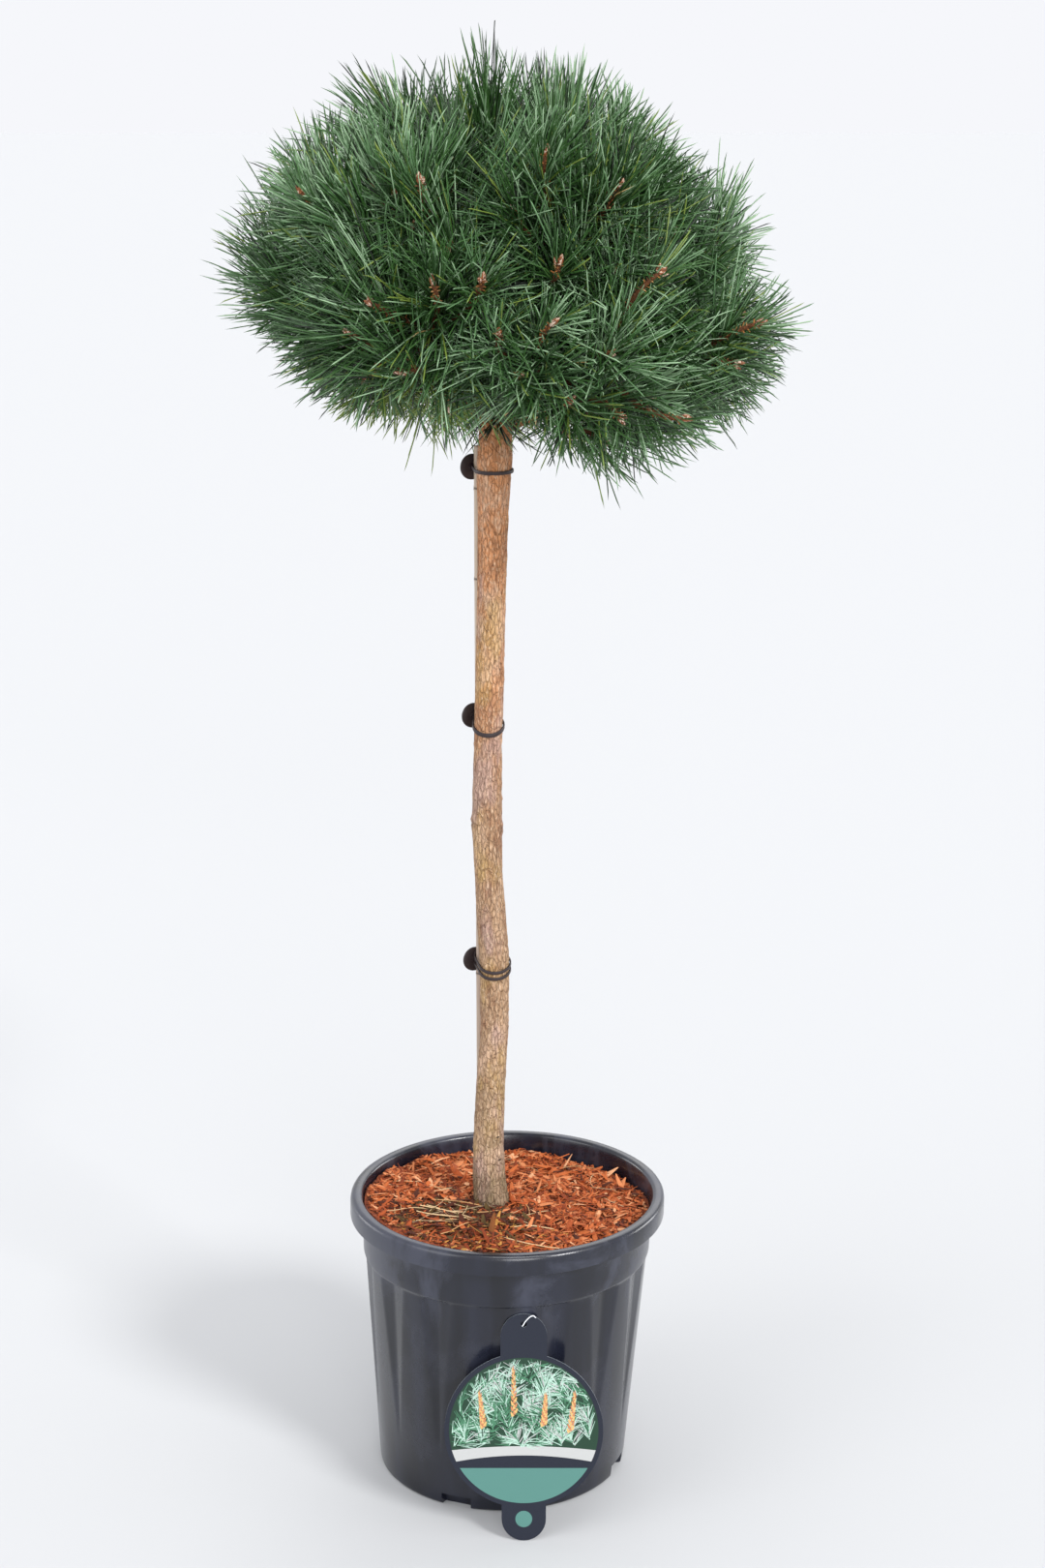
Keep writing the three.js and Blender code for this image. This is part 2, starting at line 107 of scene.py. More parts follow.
# place, reach and, where it is drawn out, stretch of the bark's dark scars and of its two big knots
BARK_SCARS = (
    ((-0.0085, -0.0125, 0.3425), 0.0034, (1, 1, 2.6)),
    ((-0.0065, -0.0115, 0.3185), 0.004, (1, 1, 2.6)),
)
BARK_KNOTS = (((-0.0335, -0.003, 0.657), 0.006), ((-0.004, -0.003, 0.652), 0.006))
# turn, height in metres, width and height in millimetres, and how proud a swelling stands
SWELLINGS = (
    (-84, 0.657, 9, 7, 1.7),
    (82, 0.652, 8, 6, 1.9),
    (40, 0.342, 7, 4, 1.1),
    (44, 0.318, 9, 4, 1.2),
    (-60, 0.405, 14, 12, 0.9),
    (30, 0.845, 12, 8, 0.7),
    (100, 0.800, 9, 6, 1.0),
    (-100, 0.560, 10, 9, 0.8),
    (88, 0.455, 8, 6, 0.7),
    (160, 0.700, 10, 8, 1.2),
    (-170, 0.430, 11, 9, 1.0),
)
PEG_COUNT = 90

# name, tier, turn, and how far out and how high its middle is
MASSES = (
    ("lower_front_left", "lower", -36, 156, 1128),
    ("lower_front_right", "lower", 30, 160, 1092),
    ("lower_right", "lower", 86, 164, 1106),
    ("lower_back_right", "lower", 142, 168, 1112),
    ("lower_back_left", "lower", -148, 168, 1122),
    ("lower_left", "lower", -93, 156, 1176),
    ("upper_front_left", "upper", -34, 120, 1236),
    ("upper_front_right", "upper", 38, 116, 1226),
    ("upper_right", "upper", 100, 132, 1206),
    ("upper_back", "upper", 170, 124, 1222),
    ("upper_left", "upper", -106, 122, 1248),
    ("top_left", "top", -70, 52, 1280),
    ("top_right", "top", 58, 60, 1268),
    ("top_back", "top", 166, 62, 1270),
)
# where a tier's boughs leave the trunk, and their diameters there and at their far ends
TIERS = {"lower": (1034, 13, 9), "upper": (1074, 11, 7.5), "top": (1122, 9, 6.5)}
BOUGH_DROOP = 7 * MM

CANE_PLACE = (-24.5 * MM, 24.3 * MM)
CANE_ENDS = (262 * MM, 1012 * MM)
CANE_RADIUS = 5.7 * MM
CANE_JOINTS = (500, 690, 888, 973)
# how far above a joint each ring lies, and how proud it stands there
JOINT_RINGS = ((-6, 0), (-2.4, 0.12), (-0.9, 0.5), (0, 0.18), (0.7, 0.42), (2.6, 0.06), (6, 0))

# name, where the band crosses the front, its sag there, how far its button sits above that, its bands
# and their height
TIES = (
    ("tie_top", 992, 0.5, 0, 1, 3.4),
    ("tie_middle", 745.5, 6.5, 10, 1, 4.2),
    ("tie_lower", 508, 5.5, 4, 2, 3.1),
)
BAND_THICKNESS = 1.6 * MM
BAND_PITCH = 6.1 * MM
BAND_GAP = 0.35 * MM
CANE_LOOP_RADIUS = 6.2 * MM
BUTTON_TURN = -150
BUTTON_SHIFT = 4 * MM

LABEL_DISC = 75 * MM
LABEL_TOP = (22 * MM, 113 * MM)
LABEL_FOOT = (21 * MM, 107 * MM)
LABEL_HOLE = (3 * MM, 103 * MM)
LABEL_THICKNESS = 1.2 * MM
LABEL_PLACE = (16 * MM, -175 * MM)


# ---- shader helpers ----

class Value:
    """A shader socket. Arithmetic on it adds Math nodes."""

    def __init__(self, finish, socket):
        self.finish = finish
        self.socket = socket

    def math(self, operation, *others, clamp=False):
        settings = {"operation": operation, "use_clamp": clamp}
        return self.finish.node("ShaderNodeMath", settings, dict(enumerate((self, *others))))

    def __add__(self, other):
        return self.math("ADD", other)

    __radd__ = __add__

    def __sub__(self, other):
        return self.math("SUBTRACT", other)

    def __rsub__(self, other):
        return self * -1 + other

    def __mul__(self, other):
        return self.math("MULTIPLY", other)

    __rmul__ = __mul__

    def clipped(self):
        return self.math("ADD", 0.0, clamp=True)

    def between(self, low, high):
        """0 below low, 1 above high, and a smooth ramp from one to the other."""
        settings = {"interpolation_type": "SMOOTHSTEP"}
        return self.finish.node("ShaderNodeMapRange", settings, {0: self, 1: low, 2: high})


class Finish:
    """A material around one Principled shader."""

    def __init__(self, name, **constants):
        self.material = bpy.data.materials.new(name)
        self.material.use_nodes = True
        self.tree = self.material.node_tree
        self.shader = self.tree.nodes["Principled BSDF"]
        for label, value in constants.items():
            socket = self.shader.inputs[label.replace("_", " ").title().replace("Ior", "IOR")]
            socket.default_value = (*value, 1) if isinstance(value, tuple) else value

    def node(self, kind, settings, inputs, output=0):
        made = self.tree.nodes.new(kind)
        for key, value in settings.items():
            if key == "stops":
                self.set_stops(made.color_ramp, value)
            else:
                setattr(made, key, value)
        for key, value in inputs.items():
            if isinstance(value, Value):
                self.tree.links.new(value.socket, made.inputs[key])
            elif isinstance(value, tuple) and made.inputs[key].type == "RGBA":
                made.inputs[key].default_value = (*value, 1)
            else:
                made.inputs[key].default_value = value
        return Value(self, made.outputs[output])

    @staticmethod
    def set_stops(ramp, stops):
        while len(ramp.elements) < len(stops):
            ramp.elements.new(1)
        for element, (place, color) in zip(ramp.elements, stops):
            element.position = place
            element.color = (*color, 1)

    def feed(self, label, value):
        self.tree.links.new(value.socket, self.shader.inputs[label])

    def place(self, stretch=None):
        """A point's place on the piece, scaled along each axis where a stretch is given."""
        place = self.node("ShaderNodeTexCoord", {}, {}, "Object")
        if stretch is None:
            return place
        return self.node("ShaderNodeVectorMath", {"operation": "MULTIPLY"}, {0: place, 1: stretch})

    def noise(self, scale, detail=3, roughness=0.55, stretch=None, distortion=0):
        inputs = {"Vector": self.place(stretch), "Scale": scale, "Detail": detail}
        inputs.update({"Roughness": roughness, "Distortion": distortion})
        return self.node("ShaderNodeTexNoise", {}, inputs)

    def cell_edges(self, scale, stretch):
        inputs = {"Vector": self.place(stretch), "Scale": scale}
        return self.node("ShaderNodeTexVoronoi", {"feature": "DISTANCE_TO_EDGE"}, inputs, "Distance")

    def nearness(self, spot, reach, stretch=(1, 1, 1)):
        """1 at a spot, falling smoothly to 0 at a distance from it."""
        spot = tuple(part * scale for part, scale in zip(spot, stretch))
        inputs = {0: self.place(stretch), 1: spot}
        away = self.node("ShaderNodeVectorMath", {"operation": "DISTANCE"}, inputs, "Value")
        return 1 - away.between(reach * 0.45, reach)

    def along(self, axis):
        return self.node("ShaderNodeSeparateXYZ", {}, {0: self.place()}, "XYZ".index(axis))

    def mix(self, factor, first, second):
        settings = {"data_type": "RGBA", "clamp_factor": True}
        return self.node("ShaderNodeMix", settings, {0: factor, 6: first, 7: second}, 2)

    def ramp(self, factor, stops):
        return self.node("ShaderNodeValToRGB", {"stops": stops}, {0: factor})

    def made(self, color, relief, depth, roughness=None):
        """The material, once its colour, its relief and any changing roughness are fed to it."""
        self.feed("Base Color", color)
        if roughness is not None:
            self.feed("Roughness", roughness.clipped())
        self.feed("Normal", self.node("ShaderNodeBump", {}, {"Height": relief, "Distance": depth}))
        return self.material


def shade(red, green, blue):
    """A colour from the usual 0 to 255 display numbers."""
    parts = (part / 255 for part in (red, green, blue))
    return tuple(p / 12.92 if p <= 0.04045 else ((p + 0.055) / 1.055) ** 2.4 for p in parts)


def plain_finish(name, color, roughness, **more):
    return Finish(name, base_color=color, roughness=roughness, **more).material


def plain_finishes(roughness, tones, **more):
    """Plain finishes from rows of a name and its display colour."""
    return [plain_finish(name, shade(*color), roughness, **more) for name, color in tones]


# ---- mesh helpers ----

def full_turn(steps):
    return np.arange(steps) * 2 * math.pi / steps


def around(turn, out, z):
    angle = np.radians(turn)
    return np.stack(np.broadcast_arrays(out * np.sin(angle), -out * np.cos(angle), z), -1)


def new_piece(name, points, faces, finishes, which=None, smooth=True):
    """A mesh object from points (n, 3) and faces (m, 3 or 4) of point numbers."""
    faces = np.asarray(faces)
    count, corners = faces.shape
    mesh = bpy.data.meshes.new(name)
    mesh.vertices.add(len(points))
    mesh.vertices.foreach_set("co", np.asarray(points, np.float32).ravel())
    mesh.loops.add(count * corners)
    mesh.loops.foreach_set("vertex_index", faces.astype(np.int32).ravel())
    mesh.polygons.add(count)
    mesh.polygons.foreach_set("loop_start", np.arange(0, count * corners, corners, dtype=np.int32))
    mesh.polygons.foreach_set("use_smooth", np.full(count, smooth))
    for finish in finishes:
        mesh.materials.append(finish)
    if which is not None:
        mesh.polygons.foreach_set("material_index", np.asarray(which, np.int32))
    mesh.update(calc_edges=True)
    mesh.validate()
    piece = bpy.data.objects.new(name, mesh)
    bpy.context.scene.collection.objects.link(piece)
    return piece


def as_triangles(quads):
    return np.concatenate([quads[:, [0, 1, 2]], quads[:, [0, 2, 3]]])


def grid_faces(rows, columns, wrap=True):
    """Quads between rows of points, each row running round a closed ring where it wraps."""
    row = np.arange(rows - 1)[:, None]
    column = np.arange(columns if wrap else columns - 1)[None, :]
    ahead = (column + 1) % columns
    here = row * columns + column
    beside = row * columns + ahead
    return np.stack([here, beside, beside + columns, here + columns], -1).reshape(-1, 4)


def joined(parts):
    """Points, triangles and finish numbers of several parts, as one."""
    points, faces, which = [], [], []
    total = 0
    for part_points, part_faces, finish in parts:
        if part_faces.shape[1] == 4:
            part_faces = as_triangles(part_faces)
        points.append(part_points)
        faces.append(part_faces + total)
        which.append(np.broadcast_to(np.asarray(finish), len(part_faces)))
        total += len(part_points)
    return np.concatenate(points), np.concatenate(faces), np.concatenate(which)


def unit(vectors):
    length = np.linalg.norm(vectors, axis=-1, keepdims=True)
    return vectors / np.maximum(length, 1e-9)


def sideways(directions):
    """Two directions square to each direction and to each other."""
    up = np.where(np.abs(directions[..., 2:]) > 0.9, [1.0, 0, 0], [0, 0, 1.0])
    first = unit(np.cross(directions, up))
    return first, np.cross(directions, first)


def tubes(paths, radii, sides, flat=1.0, tip=False, twist=None):
    """Tubes along paths (k, m, 3), with radii (k, m). A tip closes each one to a point."""
    count, steps, _ = paths.shape
    first, second = sideways(unit(paths[:, -1] - paths[:, 0]))
    if twist is not None:
        cosine, sine = np.cos(twist)[:, None], np.sin(twist)[:, None]
        first, second = first * cosine + second * sine, second * cosine - first * sine
    angle = full_turn(sides)
    rings = steps - 1 if tip else steps
    spread = first[:, None, :] * np.cos(angle)[None, :, None]
    spread = spread + flat * second[:, None, :] * np.sin(angle)[None, :, None]
    walls = paths[:, :rings, None, :] + spread[:, None] * radii[:, :rings, None, None]
    points = walls.reshape(count, rings * sides, 3)
    faces = as_triangles(grid_faces(rings, sides))
    if tip:
        points = np.concatenate([points, paths[:, -1:]], 1)
        last = (rings - 1) * sides
        ends = [[last + side, last + (side + 1) % sides, rings * sides] for side in range(sides)]
        faces = np.concatenate([faces, np.array(ends)])
    total = points.shape[1]
    every = faces[None] + (np.arange(count) * total)[:, None, None]
    return points.reshape(-1, 3), every.reshape(-1, 3), len(faces)


def bends(starts, middles, ends, steps):
    """Quadratic curves, as paths (k, steps, 3)."""
    share = np.linspace(0, 1, steps)[None, :, None]
    rise = (1 - share) ** 2 * starts[:, None] + 2 * share * (1 - share) * middles[:, None]
    return rise + share**2 * ends[:, None]


def looked_up(table, x, y, ease=lambda share: share):
    """A table's values between its columns, which wrap round, and its rows."""
    column, row = np.floor(x).astype(int), np.floor(y).astype(int)
    over, rise = ease(x - column), ease(y - row)
    left, right = column % table.shape[1], (column + 1) % table.shape[1]
    low = table[row, left] * (1 - over) + table[row, right] * over
    high = table[row + 1, left] * (1 - over) + table[row + 1, right] * over
    return low * (1 - rise) + high * rise


def along_line(at, distances, line):
    """Rows of a table, read off at places along it."""
    return np.stack([np.interp(at, distances, line[:, part]) for part in range(line.shape[1])], -1)


def wrapped_noise(random, turns, heights, across, up):
    """Smooth noise from -1 to 1 that wraps round a stem; across and up are cells a turn and a metre."""
    rows = int(np.ptp(heights) * up) + 3
    table = random.uniform(-1, 1, (rows, across))
    x = (turns / 360 % 1) * across
    y = (heights - heights.min()) * up
    return looked_up(table, x, y, lambda share: share * share * (3 - 2 * share))


# ---- finishes ----

def pot_finish():
    """Charcoal plastic with a soft sheen, dusty on the shoulder and scuffed lower down."""
    finish = Finish("pot_charcoal_plastic", specular_ior_level=0.4, coat_weight=0.36, coat_roughness=0.18)
    dust = finish.noise(13, 5, 0.62, stretch=(1, 1, 0.7), distortion=0.6).between(0.44, 0.62)
    fine = finish.noise(120, 3, 0.6)
    high = finish.along("Z").between(0.19, 0.24)
    bloom = (dust * (0.22 + 0.58 * high)).clipped()
    streak = finish.noise(40, 3, 0.5, stretch=(1, 1, 0.08))
    color = finish.mix(streak.between(0.3, 0.7), shade(10, 12, 21), shade(26, 29, 42))
    color = finish.mix(bloom, color, shade(58, 61, 75))
    return finish.made(color, fine + streak, 0.0001, 0.2 + 0.22 * bloom + 0.08 * fine)


def soil_finish():
    finish = Finish("growing_mix_soil", roughness=0.95)
    grain = finish.noise(220, 6, 0.7)
    stops = ((0.3, shade(28, 19, 14)), (0.55, shade(58, 40, 28)), (0.75, shade(88, 64, 44)))
    return finish.made(finish.ramp(grain, stops), grain, 0.002)


def trunk_finish():
    """Flaky pine bark: small tan flakes flecked with brown, greyer at the foot, orange at the head."""
    finish = Finish("trunk_flaky_bark", specular_ior_level=0.25)
    height = finish.along("Z")
    broad = finish.noise(16, 3, 0.6, stretch=(1, 1, 0.3))
    rise = (height + 0.3 * (broad - 0.5)).between(0.2, 1.05)
    stops = (
        (0.0, shade(150, 128, 98)),
        (0.2, shade(170, 138, 108)),
        (0.6, shade(170, 134, 104)),
        (1.0, shade(202, 138, 92)),
    )
    color = finish.ramp(rise, stops)
    patch = finish.noise(46, 3, 0.6, stretch=(1, 1, 0.4), distortion=0.5)
    olive = finish.noise(21, 3, 0.6, stretch=(1, 1, 0.45))
    lilac = finish.noise(27, 3, 0.6, stretch=(1.3, 1, 0.4))
    edges = finish.cell_edges(300, (1, 1, 0.36)).between(0.0, 0.14)
    grain = finish.noise(480, 3, 0.62, stretch=(1, 1, 0.38))
    flecks = finish.noise(400, 3, 0.65, stretch=(1, 1.1, 0.4), distortion=0.4)
    cracks = finish.noise(260, 3, 0.6, stretch=(1, 1, 0.07)).between(0.34, 0.41)
    scars, knots = (
        (finish.nearness(*one) + finish.nearness(*other)).clipped() for one, other in (BARK_SCARS, BARK_KNOTS)
    )
    layers = (
        (patch.between(0.5, 0.64), 0.6, (206, 172, 144)),
        (1 - patch.between(0.36, 0.48), 0.55, (150, 104, 74)),
        (olive.between(0.52, 0.64), 0.5, (182, 150, 88)),
        (lilac.between(0.53, 0.66), 0.6, (180, 150, 142)),
        (1 - edges, 0.2, (110, 76, 54)),
        (grain.between(0.53, 0.66), 0.5, (226, 196, 166)),
        (1 - grain.between(0.34, 0.46), 0.5, (108, 75, 52)),
        (1 - flecks.between(0.32, 0.38), 0.72, (82, 54, 40)),
        (1 - cracks, 0.36, (106, 70, 50)),
        (scars, 0.9, (31, 22, 16)),
        (knots, 0.4, (76, 56, 43)),
        (1 - height.between(0.28, 0.315), 0.4, (87, 74, 49)),
    )
    for mask, strength, tone in layers:
        color = finish.mix(mask * strength, color, shade(*tone))
    relief = grain + 0.8 * edges + 0.6 * patch + 0.6 * flecks + 0.4 * cracks
    return finish.made(color, relief, 0.0014, 0.7 + 0.22 * patch)


def bough_finish():
    finish = Finish("bough_orange_bark", specular_ior_level=0.3, roughness=0.8)
    streak = finish.noise(240, 4, 0.7)
    stops = ((0.3, shade(96, 58, 34)), (0.5, shade(150, 96, 56)), (0.72, shade(188, 134, 84)))
    return finish.made(finish.ramp(streak, stops), streak, 0.0008)


def cane_finish():
    """Weathered bamboo: grey cream with fine lines along it and dark joints."""
    finish = Finish("cane_weathered_bamboo", specular_ior_level=0.4)
    line = finish.noise(420, 3, 0.6, stretch=(1, 1, 0.03))
    patch = finish.noise(26, 3, 0.6, stretch=(1, 1, 0.4))
    color = finish.mix(patch.between(0.4, 0.66), shade(186, 168, 148), shade(160, 138, 124))
    color = finish.mix(line.between(0.5, 0.7) * 0.5, color, shade(124, 104, 88))
    height = finish.along("Z")
    away = [(height - joint * MM).math("ABSOLUTE") for joint in CANE_JOINTS]
    dark = sum(1 - distance.between(0.0004, 0.0016) for distance in away)
    color = finish.mix(dark.clipped() * 0.8, color, shade(70, 56, 46))
    return finish.made(color, line, 0.0002, 0.42 + 0.25 * line)


def rubber_finish():
    """Dark matt rubber with a little dust."""
    finish = Finish("tie_dark_rubber", specular_ior_level=0.45)
    grain = finish.noise(300, 3, 0.6)
    dust = finish.noise(60, 3, 0.6).between(0.5, 0.75)
    color = finish.mix(dust * 0.5, shade(40, 28, 29), shade(74, 58, 57))
    return finish.made(color, grain, 0.0002, 0.42 + 0.25 * grain)


def card_finish():
    """Slate printed card under a clear gloss."""
    finish = Finish("label_slate_card", roughness=0.45, specular_ior_level=0.25)
    grain = finish.noise(900, 2)
    color = finish.mix(grain, shade(24, 28, 40), shade(31, 36, 49))
    return finish.made(color, finish.noise(30, 2), 0.0002)


def mulch_base_finish():
    """Fine bark between the chips, mossy at one spot."""
    finish = Finish("mulch_fine_bark", roughness=0.9)
    grain = finish.noise(260, 5, 0.7)
    stops = ((0.3, shade(74, 28, 10)), (0.5, shade(150, 68, 30)), (0.7, shade(200, 106, 56)))
    color = finish.ramp(grain, stops)
    moss = finish.nearness((*MOSS_PLACE, 0.272), 0.062)
    color = finish.mix(moss * 0.7, color, shade(62, 56, 30))
    return finish.made(color, grain, 0.002)


# ---- pot ----

def pot_middle(z):
    return FOOT_SHIFT * (1 - z / POT_HEIGHT)


def pot_ring(turns, reach, z, level=None):
    """A ring of points about the middle of the pot, at its own height or at a given level."""
    ring = around(turns, reach, z)
    ring[:, 0] += pot_middle(z if level is None else level)
    return ring


def pot_inner_radius(z):
    heights = np.array([3, 222, 225.3, 262.4, 282.7]) * MM
    radii = np.array([120.5, 137, 139, 140.5, 142.7]) * MM
    return np.interp(z, heights, radii)


def groove_depth(turns, z):
    """Tapering hollows down the pot's body: wide under the shoulder, closing to a point low down."""
    pitch, first, foot, deep = 24, -52.5, 48 * MM, 3.6 * MM
    share = np.clip((z - foot) / (BODY_TOP - foot), 0, 1)
    half = 7.6 * share + 1e-6
    away = np.abs((turns - first + pitch / 2) % pitch - pitch / 2)
    hollow = np.clip(1 - away / half, 0, 1)
    return deep * share**0.7 * hollow**0.8


def notch_reach(turns, reach):
    """A radius, drawn in to the notches' flat backs wherever a turn falls in a notch."""
    result = np.array(reach, float) * np.ones_like(turns)
    for turn in NOTCH_TURNS:
        away = np.radians((turns - turn + 180) % 360 - 180)
        half = math.asin(NOTCH_HALF_WIDTH / FOOT_RADIUS)
        back = (FOOT_RADIUS - NOTCH_DEPTH) / np.cos(np.clip(away, -0.5, 0.5))
        result = np.where(np.abs(away) < half, np.minimum(result, back), result)
    return result


def pot_turns():
    turns = list(np.arange(0, 360, 1.0))
    half = math.degrees(math.asin(NOTCH_HALF_WIDTH / FOOT_RADIUS))
    for turn in NOTCH_TURNS:
        for edge in (turn - half, turn + half):
            turns += [(edge - 0.06) % 360, (edge + 0.06) % 360]
    return np.array(sorted(turns))


def make_pot(finish):
    """The shell, outside, lip and inside, with its grooves and drainage notches."""
    foot = [(0, 0), (60, 0), (100, 0), (113, 0), (118.5, 0), (121, 0.5), (122.3, 1.8), (122.62, 3.5)]
    foot += [(123.1, 8), (123.34, 11.4), (123.39, 12), (123.42, 12.5), (123.9, 18), (125.2, 36)]
    body = [(122.5 + 16.5 * z / 222, z) for z in np.linspace(48, 218, 24)]
    shoulder = [(138.95, 220), (139.1, 221.8), (139.7, 223.6), (140.7, 224.8), (141.2, 226.5)]
    shoulder += [(141.5, 235), (142.0, 248), (142.45, 259.5), (142.9, 262.8), (144.2, 270), (144.9, 279)]
    lip = [(146.2, 280.6), (151, 280.6), (152.5, 279.4), (152.6, 264), (152.9, 262.7), (153.6, 262.4)]
    lip += [(154.3, 262.8), (154.5, 264), (154.5, 271), (154.5, 277), (154.1, 279.6), (153.0, 281.5)]
    lip += [(151.4, 282.5), (149.4, 282.7), (147.0, 282.7), (144.9, 282.4), (143.5, 281.5)]
    lip += [(142.8, 279.8), (142.1, 274), (140.6, 263)]
    inside = [(139.9, 248), (139.1, 228), (137.5, 225.8), (136.9, 221.6)]
    inside += [(120.5 + 16.5 * (z - 3) / 219, z) for z in np.linspace(214, 22, 16)]
    inside += [(112, 13.5), (0, 13.2)]
    rows = np.array(foot + body + shoulder + lip + inside) * MM
    turns = pot_turns()
    outer_rows = len(foot) + len(body) + 1
    points = []
    for index, (radius, z) in enumerate(rows):
        reach = radius * np.ones_like(turns)
        if z < BODY_TOP:
            reach = reach - groove_depth(turns, z) * min(1, radius / (100 * MM))
        if index < outer_rows and z < NOTCH_HEIGHT + 0.2 * MM:
            reach = notch_reach(turns, reach)
        points.append(pot_ring(turns, reach, z))
    faces = grid_faces(len(rows), len(turns))
    piece = new_piece("pot_body", np.concatenate(points), faces, [finish])
    sharpen(piece, 38)
    return piece


def sharpen(piece, degrees):
    """Marks the edges that bend by more than an angle, so that shading breaks there."""
    piece.data.update()
    piece.data.set_sharp_from_angle(angle=math.radians(degrees))


def make_soil(finish):
    turns = np.arange(0, 360, 6.0)
    rows = [(0, 14), (60, 14), (112, 14), (116, 22), (123, 122), (130, 215), (131.5, 221.6), (136.5, 226.5)]
    rows += [(138.5, 230), (139.4, 252), (70, 252), (0, 252)]
    points = [pot_ring(turns, radius * MM * 0.998, z * MM) for radius, z in rows]
    return new_piece("growing_mix", np.concatenate(points), grid_faces(len(rows), len(turns)), [finish])


# ---- mulch ----

def mulch_height(x, y):
    angle = math.radians(MULCH_RISE_TURN)
    uphill = (x * math.sin(angle) - y * math.cos(angle)) / MOUTH_RADIUS
    wave = np.sin(x / (17 * MM)) * np.cos(y / (21 * MM)) + np.sin((x + y) / (11 * MM))
    return MULCH_LEVEL + MULCH_RISE * uphill + 1.6 * MM * wave


def lumps(x, y):
    fine = np.sin(x * 610 + 3 * np.sin(y * 330)) * np.cos(y * 540 + 2 * np.sin(x * 290))
    return 1.1 * MM * fine + 0.7 * MM * np.sin(x * 1270 - y * 980) * np.cos(y * 1430)


def make_mulch_bed(finish):
    """The lumpy bed that the chips lie on."""
    turns = np.arange(0, 360, 2.0)
    shares = np.linspace(0, 1, 64)
    points = [pot_ring(turns, pot_inner_radius(BED_FOOT) - WALL_GAP, 0.2535, BED_FOOT)]
    for share in shares[::-1]:
        radius = share * (pot_inner_radius(HEAP_LEVEL) - WALL_GAP)
        ring = around(turns, radius, 0.0)
        ring[:, 2] = mulch_height(ring[:, 0], ring[:, 1]) + lumps(ring[:, 0], ring[:, 1]) - 1.2 * MM
        ring[:, 0] += pot_middle(HEAP_LEVEL)
        points.append(ring)
    faces = grid_faces(len(points), len(turns))
    return new_piece("mulch_bed", np.concatenate(points), faces, [finish])


def scattered(random, count, reach):
    """Places dealt evenly over a disc."""
    out = reach * np.sqrt(random.random(count))
    angle = random.uniform(0, 2 * math.pi, count)
    return out * np.cos(angle), out * np.sin(angle)


def stem_clear(x, y, margin):
    """Whether points stay clear of the trunk and the cane where they leave the mulch."""
    trunk = np.hypot(x + 15.9 * MM, y - 0.1 * MM) > 16.8 * MM + margin
    cane = np.hypot(x - CANE_PLACE[0], y - CANE_PLACE[1]) > CANE_RADIUS + margin
    return trunk & cane


def chip_tints(random, x, y, light):
    """A finish number for each chip: 0 deep to 4 palest, 5 dark, 6 mossy, 7 yellow, 8 earth."""
    kinds = random.choice(6, len(x), p=light)
    moss = np.hypot((x - MOSS_PLACE[0]) / 1.35, y - MOSS_PLACE[1]) + random.normal(0, 0.011, len(x))
    kinds = np.where((moss < 0.040) & (random.random(len(x)) < 0.8), 6, kinds)
    dark = (moss < 0.055) & (random.random(len(x)) < 0.4)
    kinds = np.where(dark, 5, kinds)
    front = (y < -0.055) & (np.abs(x + 0.038) < 0.07 + random.normal(0, 0.012, len(x)))
    brown = random.choice((0, 0, 1, 5, 6, 8, 8, 7), len(x))
    kinds = np.where(front & (random.random(len(x)) < 0.6), brown, kinds)
    return kinds


def make_chips(random, count, length, width, thick, light, steps):
    """Shredded bark: flat slivers lying on the heap at slight tilts."""
    x, y = scattered(random, count, HEAP_REACH)
    long = np.clip(random.lognormal(math.log(length), 0.45, count), 3, 30) * MM
    keep = stem_clear(x, y, 1.5 * MM) & (np.hypot(x, y) + 0.42 * long < HEAP_REACH + 0.5 * MM)
    x, y, long = x[keep], y[keep], long[keep]
    count = len(x)
    heading = random.uniform(0, 2 * math.pi, count)
    tilt = np.abs(random.normal(0, 0.22, count))
    ahead = np.stack([np.cos(heading) * np.cos(tilt), np.sin(heading) * np.cos(tilt), np.sin(tilt)], -1)
    z = mulch_height(x, y) + lumps(x, y) + random.uniform(-0.8, 1.6, count) * MM + 0.3 * long * np.sin(tilt)
    shift = pot_middle(HEAP_LEVEL)
    middle = np.stack([x + shift, y, z], -1)
    bow = random.normal(0, 0.06, (count, 1)) * long[:, None] * np.array([0, 0, 1.0])
    side = random.normal(0, 0.05, (count, 1)) * long[:, None] * sideways(ahead)[0]
    half = ahead * long[:, None] / 2
    paths = bends(middle - half, middle + bow + side, middle + half, steps)
    wide = random.uniform(0.5, 1.4, count) * width * MM / 2
    profile = np.array({2: (1.0, 0.55), 3: (0.45, 1.0, 0.35), 4: (0.4, 1.0, 0.9, 0.3)}[steps])
    radii = wide[:, None] * profile[None, :] * random.uniform(0.75, 1.2, (count, steps))
    flat = thick / width
    points, faces, each = tubes(paths, radii, 4, flat=flat, twist=random.uniform(-0.35, 0.35, count))
    away = np.hypot(points[:, 0] - shift, points[:, 1])
    wall = pot_inner_radius(points[:, 2]) - 0.7 * MM
    points[:, :2] = (points[:, :2] - [shift, 0]) * np.minimum(1, wall / away)[:, None]
    points[:, 0] += shift
    last = 4 * (steps - 1)
    caps = np.array([[0, 2, 1], [0, 3, 2], [last, last + 1, last + 2], [last, last + 2, last + 3]])
    ends = caps[None] + (np.arange(count) * 4 * steps)[:, None, None]
    kinds = chip_tints(random, x, y, light)
    which = np.concatenate([np.repeat(kinds, each), np.repeat(kinds, len(caps))])
    return points, np.concatenate([faces, ends.reshape(-1, 3)]), which


